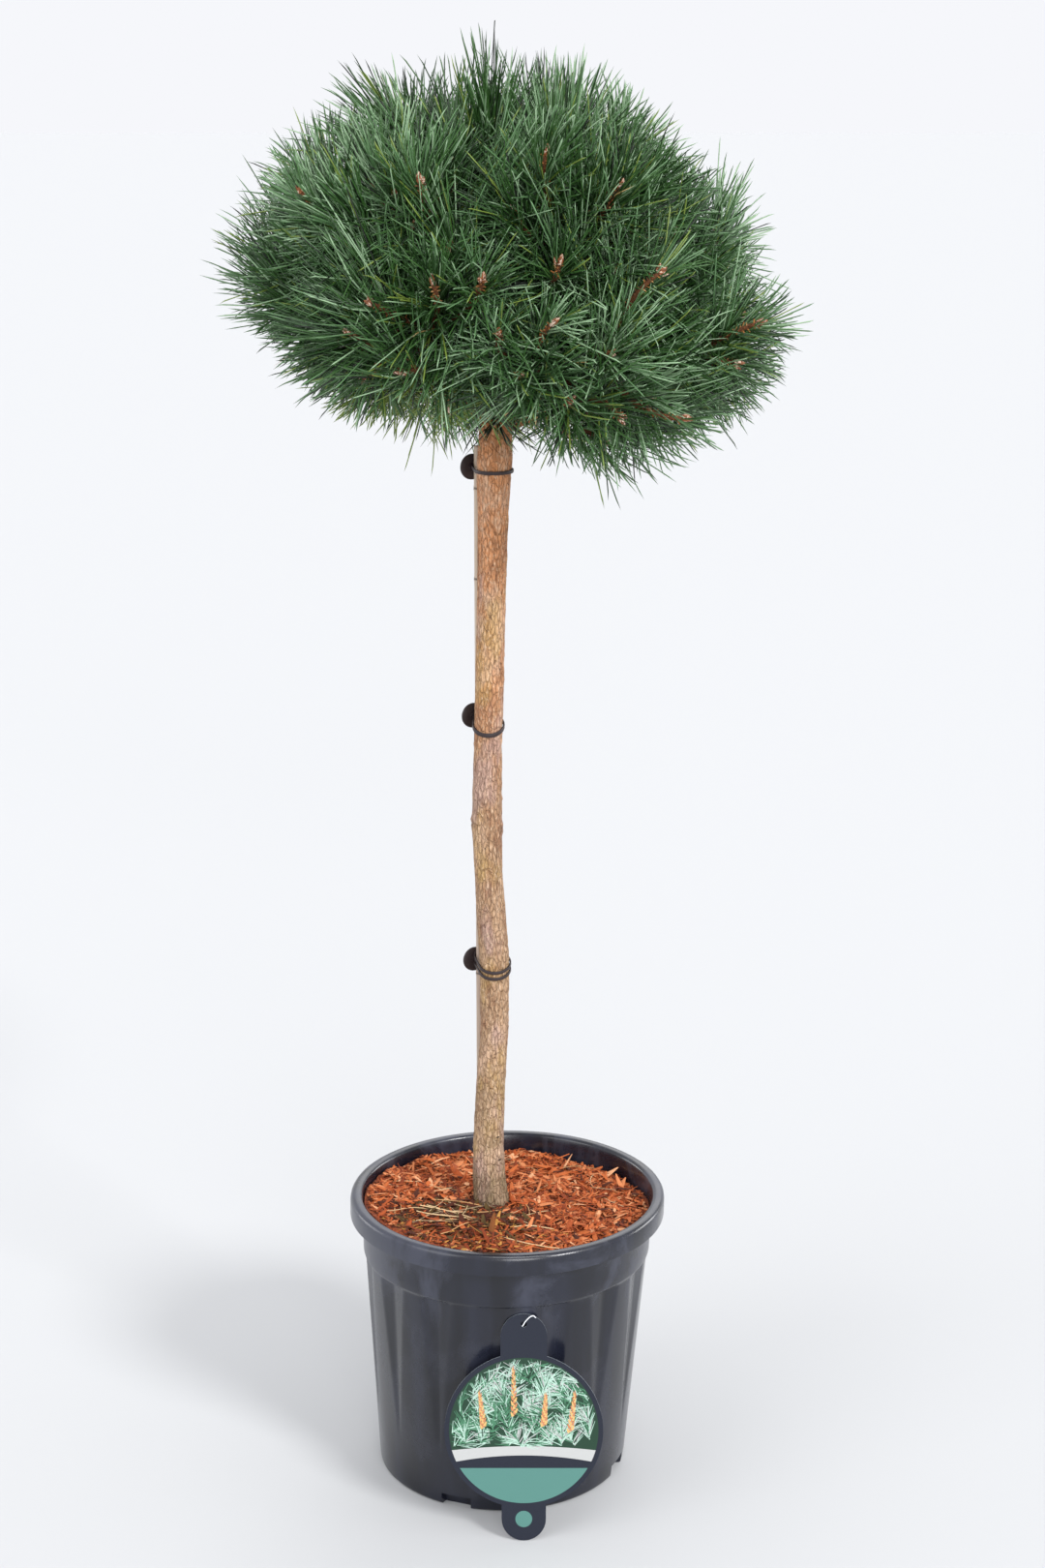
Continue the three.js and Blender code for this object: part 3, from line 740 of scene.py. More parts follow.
def make_mulch_chips():
    """Many fine shreds and fewer broad pieces."""
    tones = (
        ("mulch_deep_red", (126, 52, 18)),
        ("mulch_russet", (164, 76, 32)),
        ("mulch_orange", (188, 98, 48)),
        ("mulch_light", (208, 128, 80)),
        ("mulch_pale", (222, 162, 118)),
        ("mulch_dark", (74, 31, 12)),
        ("mulch_mossy", (82, 62, 28)),
        ("mulch_yellow", (190, 134, 62)),
        ("mulch_earth", (122, 70, 30)),
    )
    finishes = plain_finishes(0.85, tones, specular_ior_level=0.3)
    random = np.random.default_rng(41)
    fine = make_chips(random, 7800, 6.5, 2.5, 0.9, (0.18, 0.3, 0.27, 0.11, 0.03, 0.11), 2)
    broad = make_chips(random, 2100, 12, 4.6, 1.0, (0.08, 0.22, 0.32, 0.24, 0.1, 0.04), 4)
    points, faces, which = joined([fine, broad])
    return new_piece("mulch_chips", points, faces, finishes, which, False)


def make_litter():
    """Dry needles and thin twigs fallen on the mulch."""
    random = np.random.default_rng(42)
    count = 44
    x, y = scattered(random, count, 118 * MM)
    near = random.random(count) < 0.34
    x = np.where(near, random.normal(-0.052, 0.022, count), x)
    y = np.where(near, random.normal(-0.045, 0.016, count), y)
    keep = stem_clear(x, y, 14 * MM)
    x, y = x[keep], y[keep]
    count = len(x)
    heading = np.where(near[keep], random.normal(0.1, 0.65, count), random.uniform(0, math.pi, count))
    ahead = np.stack([np.cos(heading), np.sin(heading)], -1)
    long = random.uniform(24, 62, count) * MM
    share = np.linspace(-0.5, 0.5, 8)
    bow = random.normal(0, 0.09, count)[:, None] * long[:, None] * (1 - 4 * share[None] ** 2)
    flat_x = x[:, None] + ahead[:, :1] * long[:, None] * share[None] - ahead[:, 1:] * bow
    flat_y = y[:, None] + ahead[:, 1:] * long[:, None] * share[None] + ahead[:, :1] * bow
    limit = LITTER_REACH / np.maximum(np.hypot(flat_x, flat_y), LITTER_REACH)
    flat_x, flat_y = flat_x * limit, flat_y * limit
    z = mulch_height(flat_x, flat_y) + random.uniform(1.8, 3.6, count)[:, None] * MM
    paths = np.stack([flat_x, flat_y, z], -1)
    thick = np.where(random.random(count) < 0.25, 0.6, 0.36) * MM
    points, faces, each = tubes(paths, thick[:, None] * np.ones(8), 4, tip=True)
    kinds = np.repeat(random.choice(3, count, p=(0.55, 0.25, 0.2)), each)
    finishes = [
        plain_finish("litter_straw", shade(224, 190, 144), 0.7),
        plain_finish("litter_tan", shade(196, 148, 98), 0.75),
        plain_finish("litter_grey", shade(172, 150, 118), 0.8),
    ]
    return new_piece("fallen_needles", points, faces, finishes, kinds)


# ---- trunk, boughs and cane ----

def trunk_at(z):
    """The trunk's middle and radius at heights in metres."""
    heights = TRUNK_STATIONS[:, 0] * MM
    right, back, width = (np.interp(z, heights, TRUNK_STATIONS[:, part]) * MM for part in (1, 2, 3))
    return right, back, width / 2


def trunk_middle(z):
    right, back, _ = trunk_at(z)
    return np.stack([right, back, z], -1)


def make_trunk(finish):
    """The stem with its bark in relief, its knots and its flared foot."""
    random = np.random.default_rng(7)
    sides = 88
    heights = np.concatenate([np.arange(0.262, 1.06, 0.0019), np.linspace(1.062, 1.214, 36)])
    turns = np.arange(sides) * 360 / sides
    turn, z = np.meshgrid(turns, heights)
    soft = np.ones(9) / 9
    right, back, radius = (np.convolve(np.pad(line, 4, "edge"), soft, "valid") for line in trunk_at(heights))
    plates = wrapped_noise(random, turn, z, 15, 60)
    flakes = wrapped_noise(random, turn, z, 34, 120)
    fibres = wrapped_noise(random, turn, z, 60, 210)
    cracks = np.abs(wrapped_noise(random, turn + 14 * plates, z, 19, 42))
    relief = 0.36 * plates + 0.3 * flakes + 0.26 * fibres - 0.5 * np.exp(-((cracks / 0.13) ** 2))
    rough = np.interp(z, [0.262, 0.4, 0.9, 1.0, 1.214], [0.95, 0.8, 0.7, 0.85, 0.45])
    relief = relief * rough * MM
    pegs = [
        (random.uniform(-180, 180), random.uniform(0.3, 1.0), 1.5, 1.3, random.uniform(0.5, 1.2))
        for _ in range(PEG_COUNT)
    ]
    for knot_turn, knot_z, wide, tall, proud in (*SWELLINGS, *pegs):
        off = (turn - knot_turn + 180) % 360 - 180
        across = np.radians(off) * 14 / wide
        bulge = np.exp(-(across**2) - ((z - knot_z) / (tall * MM)) ** 2)
        dimple = np.exp(-((across * 2.6) ** 2) - ((z - knot_z) / (tall * MM * 0.35)) ** 2)
        relief += (proud * bulge - 0.8 * proud * dimple) * MM
    flare = 1.2 * MM * np.clip((0.292 - z) / 0.03, 0, 1) ** 2 * (1 + 0.5 * np.cos(np.radians(turn * 5 + 40)))
    reach = radius[:, None] + relief + flare
    points = around(turn, reach, z)
    points[..., 0] += right[:, None]
    points[..., 1] += back[:, None]
    faces = grid_faces(len(heights), sides)
    top = len(heights) * sides
    ends = [[right[-1], back[-1], 1.2155], [right[0], back[0], 0.262]]
    points = np.concatenate([points.reshape(-1, 3), ends])
    side = np.arange(sides)
    last = (len(heights) - 1) * sides
    lid = np.stack([last + side, last + (side + 1) % sides, np.full(sides, top)], -1)
    base = np.stack([(side + 1) % sides, side, np.full(sides, top + 1)], -1)
    triangles = np.concatenate([as_triangles(faces), lid, base])
    return new_piece("trunk_bark", points, triangles, [finish])


def mass_middle(mass):
    _, _, turn, out, up = mass
    return around(turn, out * MM, up * MM)


def bough_line(mass):
    """A bough's start on the trunk's middle line, its bend and its end well inside its mass."""
    leaves = TIERS[mass[1]][0] * MM
    start = trunk_middle(leaves)
    end = start + (mass_middle(mass) - start) * 0.86
    bend = (start + end) / 2 - [0, 0, 2 * BOUGH_DROOP]
    return start, bend, end


def make_boughs(finish):
    """Every bough as one tapering limb with a slight wander."""
    random = np.random.default_rng(9)
    paths, radii = [], []
    steps = 22
    for mass in MASSES:
        start, bend, end = bough_line(mass)
        _, thick, thin = TIERS[mass[1]]
        path = bends(start[None], bend[None], end[None], steps)[0]
        wander = np.cumsum(random.normal(0, 0.5, (steps, 3)), 0) * MM
        path = path + wander * np.linspace(0, 1, steps)[:, None]
        taper = np.interp(np.linspace(0, 1, steps), [0, 0.1, 0.5, 1], [1.35, 1.05, 0.85, 0.6])
        radius = taper * thick * MM / 2 * (1 + 0.06 * random.normal(0, 1, steps))
        paths.append(path)
        radii.append(np.maximum(radius, thin * MM * 0.3))
    points, faces, _ = tubes(np.array(paths), np.array(radii), 14)
    grain = random.normal(0, 0.22, points.shape) * MM
    return new_piece("bough_bark", points + grain, faces, [finish])


def make_cane(finish):
    """The cane with its raised joints and its open top end."""
    sides = 28
    heights = [CANE_ENDS[0]]
    radii = [CANE_RADIUS]
    for joint in CANE_JOINTS:
        for offset, proud in JOINT_RINGS:
            heights.append((joint + offset) * MM)
            radii.append(CANE_RADIUS + proud * MM)
    heights += [CANE_ENDS[1] - 0.4 * MM, CANE_ENDS[1]]
    radii += [CANE_RADIUS, CANE_RADIUS - 0.5 * MM]
    turns = np.arange(sides) * 360 / sides
    rings = [around(turns, radius, z) for z, radius in zip(heights, radii)]
    hollow = [around(turns, 2.6 * MM, CANE_ENDS[1]), around(turns, 2.3 * MM, CANE_ENDS[1] - 9 * MM)]
    closing = [around(turns, 0.01 * MM, CANE_ENDS[1] - 9 * MM)]
    opening = [around(turns, 0.01 * MM, CANE_ENDS[0])]
    points = np.concatenate(opening + rings + hollow + closing)
    points[:, :2] += CANE_PLACE
    piece = new_piece("bamboo_cane", points, grid_faces(len(points) // sides, sides), [finish])
    sharpen(piece, 50)
    return piece


# ---- ties ----

def loop_path(z, margin):
    """A tight loop round the trunk and the cane, as points and their turns from the front."""
    turns = np.arange(0, 360, 3.0)
    out = around(turns, 1.0, 0.0)[:, :2]
    right, back, radius = trunk_at(z)
    trunk, cane = np.array([right, back]), np.array(CANE_PLACE)
    trunk_reach = out @ trunk + radius
    cane_reach = out @ cane + CANE_LOOP_RADIUS
    on_trunk = (trunk_reach >= cane_reach)[:, None]
    touching = np.where(on_trunk, trunk + out * radius, cane + out * CANE_LOOP_RADIUS)
    return turns, touching + out * margin, out


def band_part(z, sag, tall):
    """A rubber band with rounded edges, low at the front and high at the back."""
    turns, middle, out = loop_path(z, BAND_GAP + BAND_THICKNESS / 2)
    heights = z - sag * np.cos(np.radians(turns))
    angle = full_turn(12)
    across, rise = (np.sign(part) * np.abs(part) ** 0.6 for part in (np.cos(angle), np.sin(angle)))
    across, rise = across * BAND_THICKNESS / 2, rise * tall / 2
    flat = middle[:, None, :] + out[:, None, :] * across[None, :, None]
    upright = heights[:, None] + rise[None, :]
    points = np.concatenate([flat, upright[..., None]], -1).reshape(-1, 3)
    faces = grid_faces(len(turns) + 1, 12) % len(points)
    return points, faces, 0


def button_part(z):
    """A domed button with a rim and a stub, turned to face away behind the cane."""
    rows = [(0, -1.2), (3.4, -1.2), (3.6, 0), (11.2, 0), (11.8, 0.35), (12, 1.1), (12, 1.7), (11.6, 2.3)]
    rows += [(10.4, 2.7), (9.9, 3.4), (8.6, 4.2), (6.2, 4.8), (3.2, 5.1), (0, 5.2)]
    sides = 40
    turns = full_turn(sides)
    points = np.concatenate([
        np.stack([radius * np.cos(turns), np.full(sides, -out), radius * np.sin(turns)], -1)
        for radius, out in rows
    ]) * MM
    points[:, 0] += BUTTON_SHIFT
    points[:, 1] -= CANE_LOOP_RADIUS + BAND_GAP + BAND_THICKNESS / 2
    angle = math.radians(BUTTON_TURN)
    cosine, sine = math.cos(angle), math.sin(angle)
    x = points[:, 0] * cosine - points[:, 1] * sine + CANE_PLACE[0]
    y = points[:, 0] * sine + points[:, 1] * cosine + CANE_PLACE[1]
    return np.stack([x, y, points[:, 2] + z], -1), grid_faces(len(rows), sides), 0


def make_tie(tie, finish):
    """One tie: its button and its band or bands."""
    name, front, sag, rise, bands, tall = tie
    parts = [button_part((front + rise) * MM)]
    for band in range(bands):
        drop = (band - (bands - 1) / 2) * BAND_PITCH
        parts.append(band_part((front + sag) * MM - drop, sag * MM, tall * MM))
    points, faces, which = joined(parts)
    piece = new_piece(name + "_rubber", points, faces, [finish], which)
    sharpen(piece, 40)
    return piece


# ---- label ----

def lean_back(points):
    """Label points, given as x, height up the card and depth behind its face, set where it leans."""
    length = LABEL_TOP[1] + LABEL_FOOT[1]
    wall = pot_inner_radius(length) + 2 * MM
    wall_y = -math.sqrt(wall**2 - (LABEL_PLACE[0] - pot_middle(length)) ** 2) - BAND_GAP
    lean = math.asin((wall_y - LABEL_PLACE[1] - LABEL_THICKNESS) / length)
    x, up, deep = points[:, 0], points[:, 1] + LABEL_FOOT[1], points[:, 2]
    y = deep * math.cos(lean) + up * math.sin(lean) + LABEL_PLACE[1]
    z = up * math.cos(lean) - deep * math.sin(lean) + BAND_GAP + LABEL_THICKNESS * math.sin(lean)
    return np.stack([x + LABEL_PLACE[0], y, z], -1)


def arc(x, y, radius, first, last, steps):
    angle = np.radians(np.linspace(first, last, steps))
    return np.stack([x + radius * np.cos(angle), y + radius * np.sin(angle)], -1)


def label_outline(inset):
    disc = LABEL_DISC - inset
    top_half, foot_half = LABEL_TOP[0] - inset, LABEL_FOOT[0] - inset
    top_middle, foot_middle = LABEL_TOP[1] - LABEL_TOP[0], LABEL_FOOT[1] - LABEL_FOOT[0]
    top = math.degrees(math.acos(top_half / disc))
    foot = math.degrees(math.acos(foot_half / disc))
    return np.concatenate([
        arc(0, -foot_middle, foot_half, 180, 360, 25),
        arc(0, 0, disc, -foot, top, 60),
        arc(0, top_middle, top_half, 0, 180, 25),
        arc(0, 0, disc, 180 - top, 180 + foot, 60),
    ])


def filled(outline, depth, finish, holes=()):
    """A flat plate over an outline of points, at a depth behind the card's face."""
    loops = [outline, *holes]
    flat = [[Vector((x, y, 0)) for x, y in loop] for loop in loops]
    triangles = np.array(tessellate_polygon(flat))
    spots = np.concatenate(loops)
    points = np.column_stack([spots, np.full(len(spots), depth)])
    corners = spots[triangles]
    one, two = corners[:, 1] - corners[:, 0], corners[:, 2] - corners[:, 0]
    flipped = one[:, 0] * two[:, 1] - one[:, 1] * two[:, 0] < 0
    triangles[flipped] = triangles[flipped][:, ::-1]
    return points, triangles, finish


def plate(outline, front, back, finishes, holes=()):
    """A card of real thickness over an outline, with its rim in its own finish."""
    face_finish, rim_finish = finishes
    face = filled(outline, front, face_finish, holes)
    rear = filled(outline, back, face_finish, holes)
    parts = [face, (rear[0], rear[1][:, ::-1], face_finish)]
    for loop in (outline, *holes):
        count = len(loop)
        rim = np.concatenate([np.column_stack([loop, np.full(count, deep)]) for deep in (back, front)])
        parts.append((rim, grid_faces(2, count), rim_finish))
    return parts


def stroke(x, y, turn, length, width, finish, depth):
    """A printed needle: a slim tapered quad."""
    ahead = np.array([math.sin(turn), math.cos(turn)])
    side = np.array([ahead[1], -ahead[0]])
    start = np.array([x, y])
    end = start + ahead * length
    foot, tip = side * width / 2, side * width / 6
    corners = [start - foot, start + foot, end + tip, end - tip]
    points = np.column_stack([np.array(corners), np.full(4, depth)])
    return points, np.array([[0, 1, 2, 3]]), finish


def in_window(x, y, radius):
    """Whether a printed spot lies in the card's upper picture."""
    return (math.hypot(x, y) < radius - 0.6 * MM) and (y > -19 * MM)


def make_label():
    """The card with its printed shapes, each on a layer just proud of the last."""
    slate = card_finish()
    tones = (
        ("label_rim", (150, 158, 164)),
        ("label_teal", (78, 124, 116)),
        ("label_white", (176, 177, 176)),
        ("label_mint", (168, 200, 184)),
        ("label_leaf_green", (70, 122, 92)),
        ("label_dark_green", (26, 56, 40)),
        ("label_straw", (206, 166, 104)),
        ("label_brown", (184, 122, 84)),
    )
    finishes = [slate, *plain_finishes(0.4, tones, specular_ior_level=0.3)]
    hole = arc(0, LABEL_HOLE[1], LABEL_HOLE[0], 360, 15, 24)
    parts = plate(label_outline(0), 0, LABEL_THICKNESS, (0, 1), [hole])
    layer = -0.05 * MM
    radius = LABEL_DISC - 4.5 * MM
    parts.append(filled(arc(0, 0, radius, -16, 196, 100), layer, 6))
    parts.append(filled(band_outline(radius, -19, -30), layer * 2.5, 3))
    parts.append(filled(arc(0, 0, radius, 211, 329, 60), layer, 2))
    parts.append(filled(arc(0, -(LABEL_FOOT[1] - LABEL_FOOT[0]), 8 * MM, 0, 345, 24), layer, 2))
    parts += needle_print(radius, layer)
    points, faces, which = joined(parts)
    return new_piece("label_card", lean_back(points), faces, finishes, which, False)


def band_outline(radius, high, low):
    """A printed band across the disc, arching a little, between two heights at its ends."""
    upper, lower = (math.degrees(math.asin(edge * MM / radius)) for edge in (high, low))
    across = np.linspace(1, -1, 30)
    arch = 1 - across**2
    top = np.column_stack([across * radius * math.cos(math.radians(upper)), high * MM + 4 * MM * arch])
    under = np.column_stack([-across * radius * math.cos(math.radians(lower)), low * MM + 6 * MM * arch])
    left_edge = arc(0, 0, radius, 180 - upper, 180 - lower, 8)
    return np.concatenate([top, left_edge, under, arc(0, 0, radius, lower, upper, 8)])


def needle_print(radius, layer):
    """The card's picture: sprays of needles, and a few upright young shoots."""
    random = np.random.default_rng(5)
    parts = []
    spots = [(x, y) for y in range(-14, 76, 12) for x in range(-68, 69, 13)]
    order = random.permutation(len(spots))
    for rank, number in enumerate(order):
        x, y = (np.array(spots[number]) + random.normal(0, 3.5, 2)) * MM
        lean = random.normal(0, 0.5)
        depth = layer * (1.2 + rank * 0.025)
        pale = random.random() < 0.5
        for _ in range(26):
            share = random.random()
            base = np.array([x + share * 9 * MM * math.sin(lean), y + share * 9 * MM * math.cos(lean)])
            turn = lean + random.choice((-1, 1)) * random.uniform(0.1, 1.4) * (1.2 - 0.6 * share)
            length = random.uniform(11, 20) * MM
            tip = base + length * np.array([math.sin(turn), math.cos(turn)])
            if not (in_window(*base, radius) and in_window(*tip, radius)):
                continue
            finish = (4, 4, 3, 5) if pale else (5, 5, 4, 6)
            finish = finish[int(random.integers(4))]
            above = layer * random.random() * 0.02
            parts.append(stroke(*base, turn, length, 1.0 * MM, finish, depth + above))
    for x, foot, tall in ((-38, 2, 34), (-9, 14, 46), (19, 4, 30), (44, -2, 38)):
        for part in range(26):
            share = part / 26
            hand = part % 3 - 1
            turn = hand * 0.45 * (1 - 0.6 * share)
            at = np.array([x + share * x * 0.1 + hand * 1.2 * (1 - 0.7 * share), foot + share * tall]) * MM
            wide = (3.0 - 1.6 * share) * MM
            parts.append(stroke(*at, turn, 4.6 * MM, wide, 7 + part % 2, layer * (4.6 + 0.04 * part)))
    return parts


def make_label_loop():
    """The short plastic loop through the label's upper hole."""
    up = LABEL_HOLE[1]
    line = np.array([
        [-1.2 * MM, up - 2.4 * MM, 1.9 * MM],
        [-1.4 * MM, up - 2.2 * MM, 0.4 * MM],
        [-1.1 * MM, up - 1.4 * MM, -1.1 * MM],
        [1.6 * MM, up + 3.4 * MM, -1.6 * MM],
        [6.0 * MM, up + 7.8 * MM, -1.5 * MM],
        [9.2 * MM, up + 8.6 * MM, -1.0 * MM],
        [11.2 * MM, up + 6.2 * MM, 0.2 * MM],
        [11.8 * MM, up + 4.4 * MM, 1.9 * MM],
    ])
    share = np.linspace(0, len(line) - 1, 40)
    smooth = along_line(share, np.arange(len(line)), line)
    for _ in range(3):
        smooth[1:-1] = (smooth[:-2] + 2 * smooth[1:-1] + smooth[2:]) / 4
    placed = lean_back(smooth)
    angle = full_turn(10)
    ahead = unit(np.gradient(placed, axis=0))
    first = unit(np.cross(ahead, [0.3, 1.0, 0.2]))
    second = np.cross(ahead, first)
    ring = first[:, None] * np.cos(angle)[None, :, None] + second[:, None] * np.sin(angle)[None, :, None]
    points = (placed[:, None] + ring * 0.55 * MM).reshape(-1, 3)
    finish = plain_finish("loop_white_plastic", shade(232, 234, 238), 0.35)
    return new_piece("label_loop", points, grid_faces(40, 10), [finish])


# ---- crown ----

CROWN_HEART = np.array([0.0, 0.0, 1.15])
CROWN_TURNS = np.arange(0, 360, 5.0)
CROWN_RISES = np.arange(-60, 91, 5.0)
VIEWER = np.array([0.0, -0.96, 0.26])

# Shoots that stand out at the front: bud place and heading in millimetres, how much of the shoot is
# bare towards the front, and how widely its needles open
SHOWN_SHOOTS = (
    (-70, -166, 1252, -3, -12, 26, 58, 0),
    (-170, -118, 1240, -16, -16, 22, 16, 0),
    (-58, -202, 1172, -6, -18, 22, 22, 4),
    (-18, -208, 1176, 3, -20, 20, 16, 6),
    (-109, -184, 1154, -22, -12, 11, 36, 0),
    (-129, -176, 1130, -16, -20, 10, 16, 6),
    (-5, -206, 1132, 2, -20, 18, 14, 6),
    (13, -200, 1098, 6, -24, 6, 16, 8),
    (38, -204, 1139, 14, -14, 13, 36, 0),
    (128, -174, 1179, 26, -12, 20, 46, 0),
    (216, -104, 1132, 25, -10, 9, 32, 0),
    (34, -158, 1274, 5, -12, 28, 18, 0),
    (95, -160, 1248, 10, -14, 24, 18, 0),
    (45, -200, 1188, 6, -16, 22, 14, 2),
    (54, -186, 1074, 8, -26, 8, 16, 14),
    (150, -150, 1056, 30, -6, 0, 62, 0),
    (198, -92, 1098, 28, -8, -1, 14, 0),
    (-50, -152, 1070, 12, -6, -30, 42, 10),
    (96, -164, 1060, 14, -14, -22, 12, 6),
    (-118, -140, 1092, -20, -16, -6, 26, 8),
)
# The outline seen from the front comes from the frame, in slots of so many degrees. It is drawn in
# because the frame reaches to the furthest tips.
OUTLINE_SLOT = 5
OUTLINE_INSET = 14 * MM
VIEW_SLOPE = 0.262
# how far a bent needle may stand out of the frame's box
STRAY = 15 * MM

SKIN_TRIES, DEEP_TRIES, HEAD_SHOOTS = 3600, 150, 18
SHOOT_SPACING = 36 * MM
BUD_MARGIN = 30 * MM
SHOWN_FORWARD = 7 * MM
# a needle's full length, and how much of a shoot is young, in millimetres
NEEDLE_LENGTH = 84
YOUNG_LENGTHS = (70, 92)
SHOOTS_A_FORK = 4
SHOOT_STEPS = 12

NEEDLE_TONES = (
    # the darkest tone is painted shade for the needles deep inside the crown
    ("needles_dark_painted_shade", (9, 22, 6)),
    ("needles_deep_green", (29, 60, 20)),
    ("needles_mid_green", (59, 97, 45)),
    ("needles_grey_green", (92, 129, 85)),
    ("needles_pale_green", (148, 179, 140)),
    ("needles_yellow_green", (120, 142, 60)),
    ("needles_straw", (190, 162, 104)),
)
# the tone of a needle's flat inner face, by the tone of its rounded back
INNER_FACES = np.array([1, 2, 3, 4, 4, 5, 6])


def pointing(turns, rises):
    turns, rises = np.radians(turns), np.radians(rises)
    flat = np.cos(rises)
    parts = np.broadcast_arrays(flat * np.sin(turns), -flat * np.cos(turns), np.sin(rises))
    return np.stack(parts, -1)


def foliage_meshes():
    return [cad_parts["foliage_" + mass[0]].data for mass in MASSES]


def crown_skin():
    """How far the crown reaches from its heart, by rise and turn, with the hollows filled in."""
    points, faces = [], []
    for mesh in foliage_meshes():
        base = len(points)
        points += [vertex.co.copy() for vertex in mesh.vertices]
        faces += [tuple(corner + base for corner in face.vertices) for face in mesh.polygons]
    solids = BVHTree.FromPolygons(points, faces)
    reach = np.zeros((len(CROWN_RISES), len(CROWN_TURNS)))
    for row, rise in enumerate(CROWN_RISES):
        for column, turn in enumerate(CROWN_TURNS):
            ahead = pointing(turn, rise)
            start = Vector(CROWN_HEART + ahead * 0.5)
            hit = solids.ray_cast(start, Vector(-ahead), 0.5)[0]
            if hit is not None:
                reach[row, column] = 0.5 - (hit - start).length
    for _ in range(14):
        beside = np.roll(reach, 1, 1) + np.roll(reach, -1, 1)
        above = np.vstack([reach[1:], reach[-1:]])
        below = np.vstack([reach[:1], reach[:-1]])
        reach = np.maximum(reach, (beside * 1.5 + above + below) / 5 * 0.995)
    return reach


def skin_reach(reach, ahead):
    """The crown's reach along unit directions."""
    turns = np.degrees(np.arctan2(ahead[:, 0], -ahead[:, 1])) % 360 / 5
    rises = (np.degrees(np.arcsin(np.clip(ahead[:, 2], -1, 1))) + 60) / 5
    rises = np.clip(rises, 0, len(CROWN_RISES) - 1.001)
    return looked_up(reach, turns, rises)


def shoot_heading(spots):
    """Which way shoots point: upright at the top, outwards at the sides, level and low beneath."""
    away = unit((spots - CROWN_HEART) * [1, 1, 1.5])
    level = np.concatenate([spots[:, :2], np.zeros((len(spots), 1))], 1) / 0.25
    share = np.clip((spots[:, 2:] - 1.0) / 0.36, 0, 1)
    rising = np.concatenate([np.zeros((len(spots), 2)), 0.14 + 0.6 * share], 1)
    return unit(0.6 * away + 0.4 * (1 - share) * level + rising)


def spaced(random, points, gap, taken):
    """Numbers of points picked in a random order, none nearer than a gap to another."""
    kept = list(taken)
    chosen = []
    for number in random.permutation(len(points)):
        point = points[number]
        if kept and np.min(np.linalg.norm(np.array(kept) - point, axis=1)) < gap:
            continue
        kept.append(point)
        chosen.append(number)
    return np.array(chosen)


def skin_directions(random, count, lowest):
    level = 1 - 2 * (np.arange(count) + 0.5) / count
    angle = GOLDEN * np.arange(count)
    flat = np.sqrt(1 - level**2)
    ahead = np.stack([flat * np.cos(angle), flat * np.sin(angle), level], -1)[level > lowest]
    return unit(ahead + random.normal(0, 0.02, ahead.shape))


def habit(dense, long, young=1.0, bare=0, wide=0):
    """How a shoot is clothed: thickness of cover, needle length, young part, bare front, spread."""
    return {"dense": dense, "long": long, "young": young, "bare": bare * MM, "wide": wide}


def grow_shoots(random, reach, outline):
    """Buds, headings and habits: the shown ones, the crown's skin, its inside and the trunk's head."""
    shown = np.array(SHOWN_SHOOTS, float)
    shown_buds, shown_headings = shown[:, :3] * MM + VIEWER * SHOWN_FORWARD, unit(shown[:, 3:6])
    habits = [habit(1.2, 1.0, 1.0, bare, wide) for bare, wide in shown[:, 6:]]
    ahead = skin_directions(random, SKIN_TRIES, -0.68)
    spots = CROWN_HEART + ahead * skin_reach(reach, ahead)[:, None]
    headings = unit(shoot_heading(spots) + random.normal(0, 0.14, spots.shape))
    inset = random.uniform(62, 76, len(spots)) + np.abs(random.normal(0, 8, len(spots)))
    inset -= 12 * (1 - np.clip(headings[:, 2] / 0.8, 0, 1))
    buds = spots - headings * inset[:, None] * MM
    inside = np.flatnonzero(beyond_outline(outline, buds)[0] < -BUD_MARGIN)
    buds, headings = buds[inside], headings[inside]
    chosen = spaced(random, buds, SHOOT_SPACING, shown_buds)
    buds, headings = buds[chosen], headings[chosen]
    for bud in buds:
        airy = 0.62 if bud[2] < 1.1 and math.hypot(bud[0], bud[1]) < 0.18 else 1.0
        habits.append(habit(random.uniform(1.16, 1.5) * airy, random.uniform(0.94, 1.06)))
    skin = len(shown) + len(chosen)
    deep = skin_directions(random, DEEP_TRIES, -0.55)
    deep = CROWN_HEART + deep * skin_reach(reach, deep)[:, None] * random.uniform(0.3, 0.52, (len(deep), 1))
    deep_headings = unit(shoot_heading(deep) + random.normal(0, 0.3, deep.shape))
    habits += [habit(0.8, 0.95, 0.9, 0, 8) for _ in deep]
    turns = np.linspace(-180, 160, HEAD_SHOOTS) + random.normal(0, 6, HEAD_SHOOTS)
    up = random.uniform(1040, 1090, HEAD_SHOOTS) * MM
    head = around(turns, random.uniform(30, 46, HEAD_SHOOTS) * MM, 0.0) + trunk_middle(up)
    head_headings = unit(around(turns, 1.0, -0.15) + random.normal(0, 0.2, (HEAD_SHOOTS, 3)))
    habits += [habit(0.75, 0.62, 1.0, 0, 6) for _ in head]
    buds = np.concatenate([shown_buds, buds, deep, head])
    headings = np.concatenate([shown_headings, headings, deep_headings, head_headings])
    return buds, headings, habits, skin, len(head)


